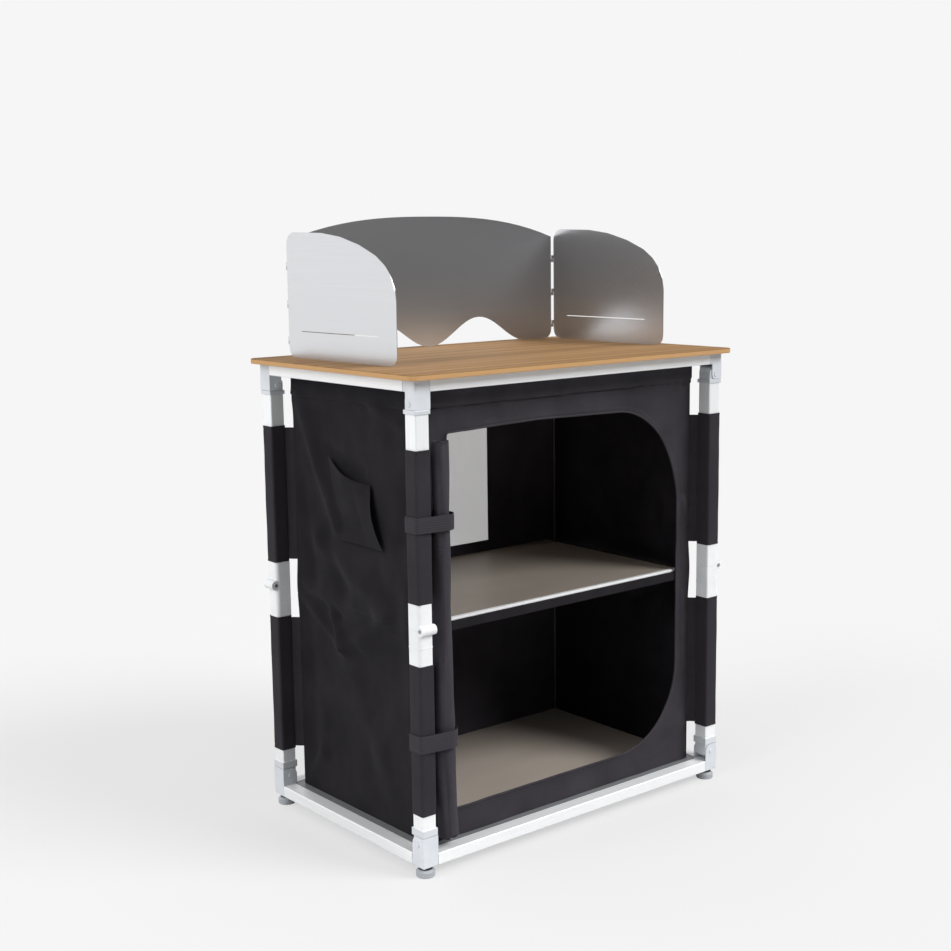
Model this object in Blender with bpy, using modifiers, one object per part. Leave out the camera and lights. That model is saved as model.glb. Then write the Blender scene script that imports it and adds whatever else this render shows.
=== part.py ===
import math

import bmesh
import bpy
from mathutils import Matrix, Vector

# All lengths are in metres. The floor is z = 0, +X is right and the open front is -Y.
COLLECTION_NAME = "camp_kitchen"
GAP = 0.0003
WELD = 0.00001
SMOOTH_ANGLE = math.radians(32)
EDGE_ANGLE = math.radians(40)

# Mesh density.
CORNER_STEPS = 4
ROUND_STEPS = 20
SMALL_ROUND_STEPS = 12
CURVE_STEPS = 12
END_STEPS = 8
SOFTEN_STEPS = 2

# Frame.
WORKTOP_WIDTH = 0.8150
WORKTOP_DEPTH = 0.5350
WORKTOP_OVERHANG = 0.0175
FRAME_WIDTH = WORKTOP_WIDTH - 2 * WORKTOP_OVERHANG
FRAME_DEPTH = WORKTOP_DEPTH - 2 * WORKTOP_OVERHANG
BLOCK = 0.034
TUBE = 0.030
TUBE_WALL = 0.0015
TUBE_CORNER = 0.0026
POST_X = (FRAME_WIDTH - BLOCK) / 2
POST_Y = (FRAME_DEPTH - BLOCK) / 2
BASE_RAIL_LOW = 0.0200
BASE_RAIL_HIGH = 0.0425
TOP_RAIL_LOW = 0.8785
TOP_RAIL_HIGH = 0.9000
RAIL_WALL = 0.0015
RAIL_FACE_WALL = 0.0020
RAIL_CORNER = 0.0020
LEDGE_REACH = 0.0240
LEDGE_THICKNESS = 0.0025
GROOVE_IN = 0.0275
GROOVE_WIDTH = 0.0015
GROOVE_DEPTH = 0.0008
TONGUE_LENGTH = 0.0150

# Folding legs. The knee pin lies outside the post's centreline, so the post locks over centre.
PIVOT_LOW = 0.0620
PIVOT_TOP = 0.8580
KNEE_Z = (PIVOT_LOW + PIVOT_TOP) / 2
KNEE_OFFSET = 0.0175
RIVET_RADIUS = 0.0030
RIVET_HEAD_RADIUS = 0.0052
RIVET_HEAD = 0.0013
RIVET_EDGE = 0.0005
BASE_COLLAR_NEAR = 0.0155
BASE_COLLAR_FAR = 0.0300
TOP_COLLAR_NEAR = 0.0100
TOP_COLLAR_FAR = 0.0180
PLUG_DEPTH = 0.0080
COLLAR_EDGE = 0.0010
BLOCK_EDGE = 0.0015
CHEEK = 0.0017

# Knee fittings.
KNEE_LOW_Z = 0.3950
KNEE_HIGH_Z = 0.5060
KNEE_WIDTH = 0.0320
KNEE_DEPTH = 0.0330
KNEE_OUTER_CORNER = 0.0075
KNEE_INNER_CORNER = 0.0030
BARREL_RADIUS = 0.0095
BARREL_LENGTH = 0.0312
BARREL_MIDDLE = 0.0140
KNEE_PIN_RADIUS = 0.0025
STUB_LENGTH = 0.0250
RIDGE_DROP = 0.0324
RIDGE_HEIGHT = 0.0012
RIDGE_PROUD = 0.0006

# Cloth sleeves on the posts.
SLEEVE_WALL = 0.0012
SLEEVE_LOW_FROM = 0.1180
SLEEVE_HIGH_TO = 0.7780

# Levelling feet.
FOOT_RADIUS = 0.0175
FOOT_HEIGHT = 0.0100
FOOT_SHOULDER = 0.0145
FOOT_TOP_RADIUS = 0.0120
FOOT_EDGE = 0.0010
FOOT_NECK_RADIUS = 0.0090
STUD_RADIUS = 0.0040
STUD_TOP = 0.0400
STUD_BORE_TOP = 0.0408

# Boards.
BASE_BOARD_THICKNESS = 0.0080
BOARD_CORNER = 0.0080
BOARD_EDGE = 0.0008
SHELF_TOP = 0.4560
SHELF_FROM_POST_X = 0.0550
SHELF_HALF_WIDTH = POST_X - SHELF_FROM_POST_X
SHELF_FRONT_FROM_POST = 0.0330
SHELF_BACK_FROM_POST = 0.0300
SHELF_FRONT = SHELF_FRONT_FROM_POST - POST_Y
SHELF_BACK = POST_Y - SHELF_BACK_FROM_POST
SHELF_THICKNESS = 0.0060
SLING_THICKNESS = 0.0016
SLING_BAND = 0.0140
WORKTOP_TOP = 0.9100
WORKTOP_CORNER = 0.0180
WORKTOP_EDGE = 0.0030

# Cloth box.
CLOTH = 0.0012
WALL_FROM_POST = 0.0270
WALL_BACK_FROM_POST = 0.0280
WALL_X = POST_X - WALL_FROM_POST
WALL_FRONT_Y = WALL_FROM_POST - POST_Y
WALL_BACK_Y = POST_Y - WALL_BACK_FROM_POST
OPENING_LEFT_BORDER = 0.0560
OPENING_RIGHT_BORDER = 0.0380
OPENING_LEFT = OPENING_LEFT_BORDER - WALL_X
OPENING_RIGHT = WALL_X - OPENING_RIGHT_BORDER
OPENING_LOW = 0.0950
OPENING_HIGH = 0.7980
OPENING_CORNER = 0.0120
OPENING_TOP_REACH = 0.1780
OPENING_TOP_DROP = 0.2480
OPENING_LOW_REACH = 0.1630
OPENING_LOW_RISE = 0.1700
WINDOW_BORDER = 0.1980
WINDOW_HALF_WIDTH = WALL_X - WINDOW_BORDER
WINDOW_LOW = 0.4790
WINDOW_HIGH = 0.8200
WINDOW_CLOTH = 0.0008

# Pocket on the left wall: (y, z) of the four corners, and how far it bulges.
POCKET_FRONT_TOP = (-0.0520, 0.6900)
POCKET_BACK_TOP = (0.0820, 0.7330)
POCKET_FRONT_LOW = (-0.0910, 0.5730)
POCKET_BACK_LOW = (0.0550, 0.5730)
POCKET_BULGE = 0.0090
POCKET_CELLS = 6

# Rolled-up door, tied to the front left post.
ROLL_FROM_POST_X = 0.0430
ROLL_FROM_POST_Y = 0.0020
ROLL_X = ROLL_FROM_POST_X - POST_X
ROLL_Y = -POST_Y - ROLL_FROM_POST_Y
ROLL_LOW = 0.0600
ROLL_HIGH = 0.7900
ROLL_LOW_RADIUS = 0.0225
ROLL_HIGH_RADIUS = 0.0150
ROLL_SIDES = 12
ROLL_RINGS = 13
ROLL_LUMP = 0.0012
ROLL_SWAY = 0.0014
ROLL_WAVES = 2.8
ROLL_TURNS = 1.5
STRAP = 0.0014
STRAP_CORNER = 0.0040
STRAP_SLACK = 0.0006
STRAP_SPANS = (("lower", 0.2360, 0.2680), ("upper", 0.6330, 0.6610))

# Folding windscreen on the worktop.
SCREEN = 0.0012
SCREEN_LEFT_BORDER = 0.0745
SCREEN_RIGHT_BORDER = 0.0435
SCREEN_BACK_BORDER = 0.0385
SCREEN_LEFT_X = SCREEN_LEFT_BORDER - WORKTOP_WIDTH / 2
SCREEN_RIGHT_X = WORKTOP_WIDTH / 2 - SCREEN_RIGHT_BORDER
SCREEN_HINGE_Y = WORKTOP_DEPTH / 2 - SCREEN_BACK_BORDER
SCREEN_MIDDLE_HEIGHT = 0.2710
SCREEN_DROP = 0.0460
SCREEN_DROP_POWER = 2.6
SCREEN_CORNER = 0.0200
SCREEN_SPAN = SCREEN_RIGHT_X - SCREEN_LEFT_X
LOBE_SHARE = 0.3845
LOBE_PITCH = SCREEN_SPAN * LOBE_SHARE
ARCH_HEIGHT = 0.0570
ARCH_STEPS = 12
TOP_EDGE_STEPS = 22
TOE_IN = math.radians(1.3)
EYE_RADIUS = 0.0025
SCREEN_PIN_RADIUS = 0.0010
PLATE_OFFSET = 0.0017
TAB_INSET = 0.0001
HINGE_HEIGHTS = (0.0325, 0.1030, 0.1770)
HINGE_HALF = 0.0075
SLIT_FROM = 0.0470
SLIT_END_BORDER = 0.0547
SLIT_HEIGHT = 0.0520
SLIT_WIDTH = 0.0016
WING_CLEARANCE = 0.0008
WING_REACH = SCREEN_SPAN / 2 - WING_CLEARANCE
SLIT_TO = WING_REACH - SLIT_END_BORDER
WING_REAR_TOP = (0.2425, 0.0250)
# The wing's outline: how far short of its reach, height above the worktop, corner radius.
WING_POINTS = (
    (0.0007, 0.0000, 0.0200),
    (0.0000, 0.1160, 0.0500),
    (0.0041, 0.1400, 0.0400),
    (0.0157, 0.1620, 0.0400),
    (0.0322, 0.1800, 0.0400),
    (0.0597, 0.1980, 0.0400),
    (0.1087, 0.2170, 0.0400),
    (0.1677, 0.2320, 0.0400),
    (0.2277, 0.2395, 0.0400),
)

# Corners in turning order: sign of x, sign of y, quarter turns from the front left one.
CORNERS = {
    "front_left": (-1, -1, 0),
    "front_right": (1, -1, 1),
    "back_right": (1, 1, 2),
    "back_left": (-1, 1, 3),
}
SIDES = ("front", "right", "back", "left")

# Material name: (red, green, blue, metallic, roughness).
MATERIALS = {
    "frame_aluminium": (0.78, 0.79, 0.80, 0.6, 0.38),
    "fitting_plastic": (0.72, 0.74, 0.76, 0.0, 0.45),
    "black_cloth": (0.030, 0.028, 0.032, 0.0, 0.9),
    "grey_mesh": (0.42, 0.42, 0.42, 0.0, 0.9),
    "bamboo_top": (0.62, 0.38, 0.17, 0.0, 0.45),
    "taupe_board": (0.42, 0.38, 0.34, 0.0, 0.55),
    "screen_aluminium": (0.70, 0.70, 0.71, 0.9, 0.32),
}

for old in list(bpy.data.objects):
    bpy.data.objects.remove(old, do_unlink=True)

bench = bpy.data.collections.new("bench")
bpy.context.scene.collection.children.link(bench)
product = bpy.data.collections.new(COLLECTION_NAME)
bpy.context.scene.collection.children.link(product)


def make_material(name, red, green, blue, metallic, roughness):
    material = bpy.data.materials.new(name)
    material.use_nodes = True
    shader = material.node_tree.nodes["Principled BSDF"]
    shader.inputs["Base Color"].default_value = (red, green, blue, 1)
    shader.inputs["Metallic"].default_value = metallic
    shader.inputs["Roughness"].default_value = roughness
    return material


materials = {name: make_material(name, *values) for name, values in MATERIALS.items()}


def draft(mesh):
    item = bpy.data.objects.new("draft", mesh)
    item.hide_render = True
    item.display_type = "WIRE"
    bench.objects.link(item)
    return item


def draft_from(work):
    mesh = bpy.data.meshes.new("draft")
    work.to_mesh(mesh)
    work.free()
    return draft(mesh)


def box(low, high):
    """A box between two corners."""
    centre = [(a + b) / 2 for a, b in zip(low, high)]
    sides = [b - a for a, b in zip(low, high)]
    work = bmesh.new()
    bmesh.ops.create_cube(work, size=1, matrix=Matrix.Translation(centre) @ Matrix.Diagonal((*sides, 1)))
    return draft_from(work)


def rod(radius, start, end, steps=ROUND_STEPS):
    """A cylinder between two points."""
    line = Vector(end) - Vector(start)
    turn = line.to_track_quat("Z", "Y").to_matrix().to_4x4()
    middle = Matrix.Translation((Vector(start) + Vector(end)) / 2)
    work = bmesh.new()
    bmesh.ops.create_cone(
        work,
        cap_ends=True,
        segments=steps,
        radius1=radius,
        radius2=radius,
        depth=line.length,
        matrix=middle @ turn,
    )
    return draft_from(work)


def rounded(points, steps=CORNER_STEPS):
    """A closed outline from (u, v, corner radius) points."""
    loop = []
    for index, (u, v, radius) in enumerate(points):
        corner = Vector((u, v))
        if radius == 0:
            loop.append(corner)
            continue
        before = (Vector(points[index - 1][:2]) - corner).normalized()
        after = (Vector(points[(index + 1) % len(points)][:2]) - corner).normalized()
        half = before.angle(after) / 2
        centre = corner + (before + after).normalized() * radius / math.sin(half)
        start = corner + before * radius / math.tan(half) - centre
        end = corner + after * radius / math.tan(half) - centre
        sweep = math.atan2(start.x * end.y - start.y * end.x, start.dot(end))
        for step in range(steps + 1):
            loop.append(centre + Matrix.Rotation(sweep * step / steps, 2) @ start)
    return loop


def rectangle(low_u, low_v, high_u, high_v, radius):
    return rounded(
        (
            (low_u, low_v, radius),
            (high_u, low_v, radius),
            (high_u, high_v, radius),
            (low_u, high_v, radius),
        )
    )


def square(side, radius):
    return rectangle(-side / 2, -side / 2, side / 2, side / 2, radius)


def outline_solid(loops, low, high, placement=Matrix()):
    """A flat outline with its holes, drawn in u and v and thickened from w = low to w = high."""
    curve = bpy.data.curves.new("outline", "CURVE")
    curve.dimensions = "2D"
    curve.fill_mode = "BOTH"
    curve.extrude = (high - low) / 2
    for loop in loops:
        spline = curve.splines.new("POLY")
        spline.points.add(len(loop) - 1)
        spline.use_cyclic_u = True
        for point, (u, v) in zip(spline.points, loop):
            point.co = (u, v, 0, 1)
    drawn = bpy.data.objects.new("outline", curve)
    bench.objects.link(drawn)
    graph = bpy.context.evaluated_depsgraph_get()
    mesh = bpy.data.meshes.new_from_object(drawn.evaluated_get(graph))
    bpy.data.objects.remove(drawn, do_unlink=True)
    bpy.data.curves.remove(curve)
    work = bmesh.new()
    work.from_mesh(mesh)
    bmesh.ops.remove_doubles(work, verts=work.verts, dist=WELD)
    bmesh.ops.transform(work, matrix=Matrix.Translation((0, 0, (high + low) / 2)), verts=work.verts)
    bmesh.ops.transform(work, matrix=placement, verts=work.verts)
    bmesh.ops.recalc_face_normals(work, faces=work.faces)
    bpy.data.meshes.remove(mesh)
    return draft_from(work)


def turned(profile, steps=ROUND_STEPS):
    """A profile of (radius, height), listed from the top of the axis down its outer side."""
    work = bmesh.new()
    corners = [work.verts.new((radius, 0, height)) for radius, height in profile]
    for first, second in zip(corners, corners[1:]):
        work.edges.new((first, second))
    item = draft_from(work)
    screw = item.modifiers.new("turn", "SCREW")
    screw.steps = steps
    screw.render_steps = steps
    screw.use_merge_vertices = True
    screw.merge_threshold = WELD
    return item


def combine(item, tool, operation):
    change = item.modifiers.new(operation.lower(), "BOOLEAN")
    change.operation = operation
    change.solver = "EXACT"
    change.object = tool


def soften(item, width, steps=SOFTEN_STEPS):
    change = item.modifiers.new("soften", "BEVEL")
    change.width = width
    change.segments = steps
    change.limit_method = "ANGLE"
    change.angle_limit = EDGE_ANGLE


def baked(item, joined=(), removed=(), kept=()):
    """The item's finished mesh, after its shared parts, its joins and its cuts in that order."""
    for tool in kept:
        combine(item, tool, "INTERSECT")
    for tool in joined:
        combine(item, tool, "UNION")
    for tool in removed:
        combine(item, tool, "DIFFERENCE")
    graph = bpy.context.evaluated_depsgraph_get()
    mesh = bpy.data.meshes.new_from_object(item.evaluated_get(graph))
    for used in (item, *joined, *removed, *kept):
        old_mesh = used.data
        bpy.data.objects.remove(used, do_unlink=True)
        bpy.data.meshes.remove(old_mesh)
    for face in mesh.polygons:
        face.use_smooth = True
    mesh.set_sharp_from_angle(angle=SMOOTH_ANGLE)
    return mesh


def place(name, mesh, material, parent=None, location=(0, 0, 0), quarter_turns=0):
    """A named part. Its mesh is copied, so each part keeps its own."""
    part = bpy.data.objects.new(name, mesh.copy())
    part.data.name = name
    part.data.materials.clear()
    part.data.materials.append(materials[material])
    part.parent = parent
    part.location = location
    part.rotation_euler = (0, 0, quarter_turns * math.pi / 2)
    product.objects.link(part)
    return part


def joint_empty(name, location, quarter_turns=0, parent=None):
    empty = bpy.data.objects.new(name, None)
    empty.location = location
    empty.rotation_euler = (0, 0, quarter_turns * math.pi / 2)
    empty.parent = parent
    product.objects.link(empty)
    return empty


# Placements of a drawn outline: its u, v and w run along the axes named.
UP_SIDE = Matrix(((0, 0, 1, 0), (1, 0, 0, 0), (0, 1, 0, 0), (0, 0, 0, 1)))
ACROSS = Matrix(((1, 0, 0, 0), (0, 0, -1, 0), (0, 1, 0, 0), (0, 0, 0, 1)))

BASE_SEAT = PIVOT_LOW - BASE_RAIL_HIGH
BASE_FAR = PIVOT_LOW - BASE_RAIL_LOW
TOP_SEAT = TOP_RAIL_LOW - PIVOT_TOP
TOP_FAR = TOP_RAIL_HIGH - PIVOT_TOP


def rail(length, low, high, ledge_up, ledge_half=None):
    """A hollow rail along X, outer face at v = 0, with an inner ledge flush with one face."""
    face = high if ledge_up else low
    inward = -1 if ledge_up else 1
    other = low if ledge_up else high
    ledge_root = face + inward * LEDGE_THICKNESS
    reach = BLOCK + LEDGE_REACH
    points = [
        (0, other, RAIL_CORNER),
        (BLOCK, other, 0),
        (BLOCK, ledge_root, 0),
        (reach, ledge_root, 0),
        (reach, face, 0),
    ]
    if ledge_up:
        groove_root = face - GROOVE_DEPTH
        points += [
            (GROOVE_IN + GROOVE_WIDTH, face, 0),
            (GROOVE_IN + GROOVE_WIDTH, groove_root, 0),
            (GROOVE_IN, groove_root, 0),
            (GROOVE_IN, face, 0),
        ]
    points.append((0, face, RAIL_CORNER))
    hollow = rectangle(
        RAIL_WALL,
        min(other - inward * RAIL_WALL, face + inward * RAIL_FACE_WALL),
        BLOCK - RAIL_WALL,
        max(other - inward * RAIL_WALL, face + inward * RAIL_FACE_WALL),
        0,
    )
    body = outline_solid((rounded(points), hollow), -length / 2, length / 2, UP_SIDE)
    cuts = []
    if ledge_half:
        for side in (-1, 1):
            ends = sorted((side * ledge_half, side * length))
            cuts.append(box((ends[0], BLOCK, low - LEDGE_REACH), (ends[1], reach + BLOCK, high + LEDGE_REACH)))
    return baked(body, removed=cuts)


def corner_block(up, seat, far, reach, foot_bore):
    """Corner fitting about its pivot: a solid part beyond seat, and a U that holds the post's end."""
    half = BLOCK / 2
    tube_half = TUBE / 2

    def level(distance):
        return up * distance

    def span(first, second):
        return sorted((level(first), level(second)))

    low, high = span(seat, far)
    body = box((-half, -half, low), (half, half, high))
    soften(body, BLOCK_EDGE)
    joined = []
    web_low, web_high = span(-reach, seat + BLOCK_EDGE + CHEEK)
    joined.append(box((-half, -half, web_low), (half, -tube_half - GAP, web_high)))
    arc = []
    for step in range(END_STEPS + 1):
        angle = math.pi / 2 * step / END_STEPS
        arc.append((reach * math.sin(angle), level(-reach * math.cos(angle))))
    root = level(seat + BLOCK_EDGE + CHEEK)
    cheek = [(-half + CHEEK / 2, root), (-half + CHEEK / 2, level(-reach)), *arc, (reach, root)]
    for side in (-1, 1):
        faces = sorted((side * half, side * (tube_half + GAP)))
        joined.append(outline_solid((cheek,), faces[0], faces[1], UP_SIDE))
    walls = (RAIL_WALL, RAIL_FACE_WALL)
    tongue_low, tongue_high = span(far - walls[0] - GAP, seat + walls[1] + GAP)
    slim = half - RAIL_WALL - GAP
    for start, end in (
        ((half - CHEEK, -slim), (half + TONGUE_LENGTH, slim)),
        ((-slim, half - CHEEK), (slim, half + TONGUE_LENGTH)),
    ):
        joined.append(box((*start, tongue_low), (*end, tongue_high)))
    joined.append(rod(RIVET_RADIUS, (-half, 0, 0), (half, 0, 0), SMALL_ROUND_STEPS))
    for side in (-1, 1):
        start = side * (half - RIVET_EDGE)
        end = side * (half + RIVET_HEAD)
        head = rod(RIVET_HEAD_RADIUS, (start, 0, 0), (end, 0, 0), SMALL_ROUND_STEPS)
        soften(head, RIVET_EDGE, 1)
        joined.append(head)
    removed = []
    if foot_bore:
        removed.append(rod(STUD_RADIUS + GAP, (0, 0, -PIVOT_LOW), (0, 0, STUD_BORE_TOP - PIVOT_LOW)))
    return baked(body, joined, removed)


def post_tube(up, collar_near, collar_far, length):
    """Half a post about its pivot: rounded plug and collar at the pivot, hollow at the knee end."""
    half = TUBE / 2
    arc = []
    for step in range(END_STEPS * 2 + 1):
        angle = math.pi / 2 * step / END_STEPS
        arc.append((half * math.cos(angle), -up * half * math.sin(angle)))
    low, high = sorted((-up * half, up * length))
    body = outline_solid((square(TUBE, TUBE_CORNER),), low, high)
    end_shape = [(TUBE, 0), *arc, (-TUBE, 0), (-TUBE, up * length * 2), (TUBE, up * length * 2)]
    rounded_end = outline_solid((end_shape,), -TUBE, TUBE, UP_SIDE)
    low, high = sorted((up * (collar_near + GAP), up * collar_far))
    collar = box((-BLOCK / 2, -BLOCK / 2, low), (BLOCK / 2, BLOCK / 2, high))
    soften(collar, COLLAR_EDGE)
    room = half - TUBE_WALL
    low, high = sorted((up * (collar_far + PLUG_DEPTH), up * (length + PLUG_DEPTH)))
    cavity = box((-room, -room, low), (room, room, high))
    hole = rod(RIVET_RADIUS + GAP, (-TUBE, 0, 0), (TUBE, 0, 0), SMALL_ROUND_STEPS)
    return baked(body, (collar,), (cavity, hole), (rounded_end,))


def knee_fitting(up, height):
    """Half a knee about the knee pin. The lower half carries the middle of the barrel and the pin."""
    near = KNEE_OFFSET - KNEE_DEPTH / 2
    far = KNEE_OFFSET + KNEE_DEPTH / 2
    half = KNEE_WIDTH / 2

    def section(grow):
        return rounded(
            (
                (-half - grow, near - grow, KNEE_OUTER_CORNER),
                (half + grow, near - grow, KNEE_OUTER_CORNER),
                (half + grow, far + grow, KNEE_INNER_CORNER),
                (-half - grow, far + grow, KNEE_INNER_CORNER),
            )
        )

    low, high = sorted((up * GAP / 2, up * height))
    body = outline_solid((section(0),), low, high)
    room = TUBE / 2 - TUBE_WALL - GAP
    stub_low, stub_high = sorted((up * (height - GAP - COLLAR_EDGE), up * (height + STUB_LENGTH)))
    stub = box((-room, KNEE_OFFSET - room, stub_low), (room, KNEE_OFFSET + room, stub_high))
    joined = [stub]
    middle = (BARREL_MIDDLE - GAP) / 2
    clear = BARREL_RADIUS + GAP
    if up > 0:
        barrel = rod(BARREL_RADIUS, (-BARREL_LENGTH / 2, 0, 0), (BARREL_LENGTH / 2, 0, 0))
        joined.append(barrel)
        recess = rod(clear, (-middle - GAP, 0, 0), (middle + GAP, 0, 0))
        hole = rod(KNEE_PIN_RADIUS + GAP, (-BLOCK, 0, 0), (BLOCK, 0, 0), SMALL_ROUND_STEPS)
        return baked(body, joined, (recess, hole))
    joined.append(rod(BARREL_RADIUS, (-BARREL_MIDDLE, 0, 0), (BARREL_MIDDLE, 0, 0)))
    joined.append(outline_solid((section(RIDGE_PROUD),), -RIDGE_DROP - RIDGE_HEIGHT, -RIDGE_DROP))
    recesses = [rod(clear, (side * middle, 0, 0), (side * BLOCK, 0, 0)) for side in (-1, 1)]
    halves = draft(baked(body, joined, recesses))
    pin = rod(
        KNEE_PIN_RADIUS,
        (-BARREL_LENGTH / 2, 0, 0),
        (BARREL_LENGTH / 2, 0, 0),
        SMALL_ROUND_STEPS,
    )
    return baked(halves, (pin,))


def sleeve(low, high):
    inner = TUBE + GAP * 2
    outer = inner + SLEEVE_WALL * 2
    loops = (square(outer, TUBE_CORNER + GAP + SLEEVE_WALL), square(inner, TUBE_CORNER + GAP))
    return baked(outline_solid(loops, low, high))


# Base frame.
front_rail = rail(FRAME_WIDTH - BLOCK * 2 - GAP * 2, BASE_RAIL_LOW, BASE_RAIL_HIGH, True)
side_length = FRAME_DEPTH - BLOCK * 2 - GAP * 2
ledge_half = FRAME_DEPTH / 2 - BLOCK - LEDGE_REACH - GAP
side_rail = rail(side_length, BASE_RAIL_LOW, BASE_RAIL_HIGH, True, ledge_half)
front_top_rail = rail(FRAME_WIDTH - BLOCK * 2 - GAP * 2, TOP_RAIL_LOW, TOP_RAIL_HIGH, False)
side_top_rail = rail(side_length, TOP_RAIL_LOW, TOP_RAIL_HIGH, False, ledge_half)

top_pivot = Vector((-POST_X, -POST_Y, PIVOT_TOP))
top_axis = joint_empty("axis_top", top_pivot)


def add_rails(prefix, long_rail, short_rail, parent, offset):
    for turns, side in enumerate(SIDES):
        lengthways = turns % 2 == 0
        out = FRAME_DEPTH / 2 if lengthways else FRAME_WIDTH / 2
        spot = Matrix.Rotation(turns * math.pi / 2, 4, "Z") @ Vector((0, -out, 0)) - offset
        place(prefix + side, long_rail if lengthways else short_rail, "frame_aluminium", parent, spot, turns)


add_rails("base_rail_", front_rail, side_rail, None, Vector((0, 0, 0)))
add_rails("top_rail_", front_top_rail, side_top_rail, top_axis, top_pivot)

base_block = corner_block(-1, BASE_SEAT, BASE_FAR, BASE_COLLAR_NEAR - GAP, True)
top_block = corner_block(1, TOP_SEAT, TOP_FAR, TOP_COLLAR_NEAR - GAP, False)
lower_tube = post_tube(1, BASE_COLLAR_NEAR, BASE_COLLAR_FAR, KNEE_LOW_Z - GAP - PIVOT_LOW)
upper_tube = post_tube(-1, TOP_COLLAR_NEAR, TOP_COLLAR_FAR, PIVOT_TOP - KNEE_HIGH_Z - GAP)
lower_knee = knee_fitting(-1, KNEE_Z - KNEE_LOW_Z)
upper_knee = knee_fitting(1, KNEE_HIGH_Z - KNEE_Z)
lower_sleeve = sleeve(SLEEVE_LOW_FROM - PIVOT_LOW, KNEE_LOW_Z - GAP - PIVOT_LOW)
upper_sleeve = sleeve(KNEE_HIGH_Z + GAP - KNEE_Z, SLEEVE_HIGH_TO - KNEE_Z)
foot_shape = baked(
    turned(
        (
            (0, STUD_TOP),
            (STUD_RADIUS, STUD_TOP),
            (STUD_RADIUS, BASE_RAIL_LOW - GAP),
            (FOOT_NECK_RADIUS, BASE_RAIL_LOW - GAP),
            (FOOT_NECK_RADIUS, FOOT_SHOULDER),
            (FOOT_TOP_RADIUS, FOOT_SHOULDER),
            (FOOT_RADIUS, FOOT_HEIGHT),
            (FOOT_RADIUS, FOOT_EDGE),
            (FOOT_RADIUS - FOOT_EDGE, 0),
            (0, 0),
        )
    )
)

for corner, (sign_x, sign_y, turns) in CORNERS.items():
    post = Vector((sign_x * POST_X, sign_y * POST_Y, 0))
    outward = Matrix.Rotation(turns * math.pi / 2, 3, "Z") @ Vector((0, -KNEE_OFFSET, 0))
    place("base_block_" + corner, base_block, "fitting_plastic", None, post + Vector((0, 0, PIVOT_LOW)), turns)
    top_spot = post + Vector((0, 0, PIVOT_TOP)) - top_pivot
    place("top_block_" + corner, top_block, "fitting_plastic", top_axis, top_spot, turns)
    foot_axis = joint_empty("axis_foot_" + corner, post)
    place("foot_" + corner, foot_shape, "fitting_plastic", foot_axis)
    low_axis = joint_empty("axis_lower_" + corner, post + Vector((0, 0, PIVOT_LOW)), turns)
    knee = post + outward + Vector((0, 0, KNEE_Z))
    high_axis = joint_empty("axis_upper_" + corner, knee, turns)
    to_knee = Vector((0, -KNEE_OFFSET, KNEE_Z - PIVOT_LOW))
    place("post_lower_" + corner, lower_tube, "frame_aluminium", low_axis)
    place("knee_lower_" + corner, lower_knee, "fitting_plastic", low_axis, to_knee)
    place("sleeve_lower_" + corner, lower_sleeve, "black_cloth", low_axis)
    to_top = Vector((0, KNEE_OFFSET, PIVOT_TOP - KNEE_Z))
    place("post_upper_" + corner, upper_tube, "frame_aluminium", high_axis, to_top)
    place("knee_upper_" + corner, upper_knee, "fitting_plastic", high_axis)
    place("sleeve_upper_" + corner, upper_sleeve, "black_cloth", high_axis, (0, KNEE_OFFSET, 0))

# Boards.
room_x = WALL_X - CLOTH / 2 - GAP
room_front = WALL_FRONT_Y + CLOTH / 2 + GAP
room_back = WALL_BACK_Y - CLOTH / 2 - GAP
board_low = BASE_RAIL_HIGH + GAP
board_loop = rectangle(-room_x, room_front, room_x, room_back, BOARD_CORNER)
base_board = outline_solid((board_loop,), board_low, board_low + BASE_BOARD_THICKNESS)
soften(base_board, BOARD_EDGE)
place("base_board", baked(base_board), "taupe_board")

shelf_axis = joint_empty("axis_shelf", (0, 0, SHELF_TOP))
shelf_loop = rectangle(-SHELF_HALF_WIDTH, SHELF_FRONT, SHELF_HALF_WIDTH, SHELF_BACK, BOARD_CORNER)
shelf_board = outline_solid((shelf_loop,), -SHELF_THICKNESS, 0)
soften(shelf_board, BOARD_EDGE)
place("shelf_board", baked(shelf_board), "taupe_board", shelf_axis)
sling_high = -SHELF_THICKNESS - GAP
sling_low = sling_high - SLING_THICKNESS
sling_loop = (
    (room_front, sling_low - SLING_BAND),
    (room_front + SLING_THICKNESS, sling_low - SLING_BAND),
    (room_front + SLING_THICKNESS, sling_low),
    (room_back, sling_low),
    (room_back, sling_high),
    (room_front, sling_high),
)
place("shelf_sling", baked(outline_solid((sling_loop,), -room_x, room_x, UP_SIDE)), "black_cloth", shelf_axis)

worktop_loop = rectangle(
    -WORKTOP_WIDTH / 2,
    -WORKTOP_DEPTH / 2,
    WORKTOP_WIDTH / 2,
    WORKTOP_DEPTH / 2,
    WORKTOP_CORNER,
)
worktop = outline_solid((worktop_loop,), TOP_RAIL_HIGH + GAP, WORKTOP_TOP)
soften(worktop, WORKTOP_EDGE)
place("worktop", baked(worktop), "bamboo_top", top_axis, -top_pivot)

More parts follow.
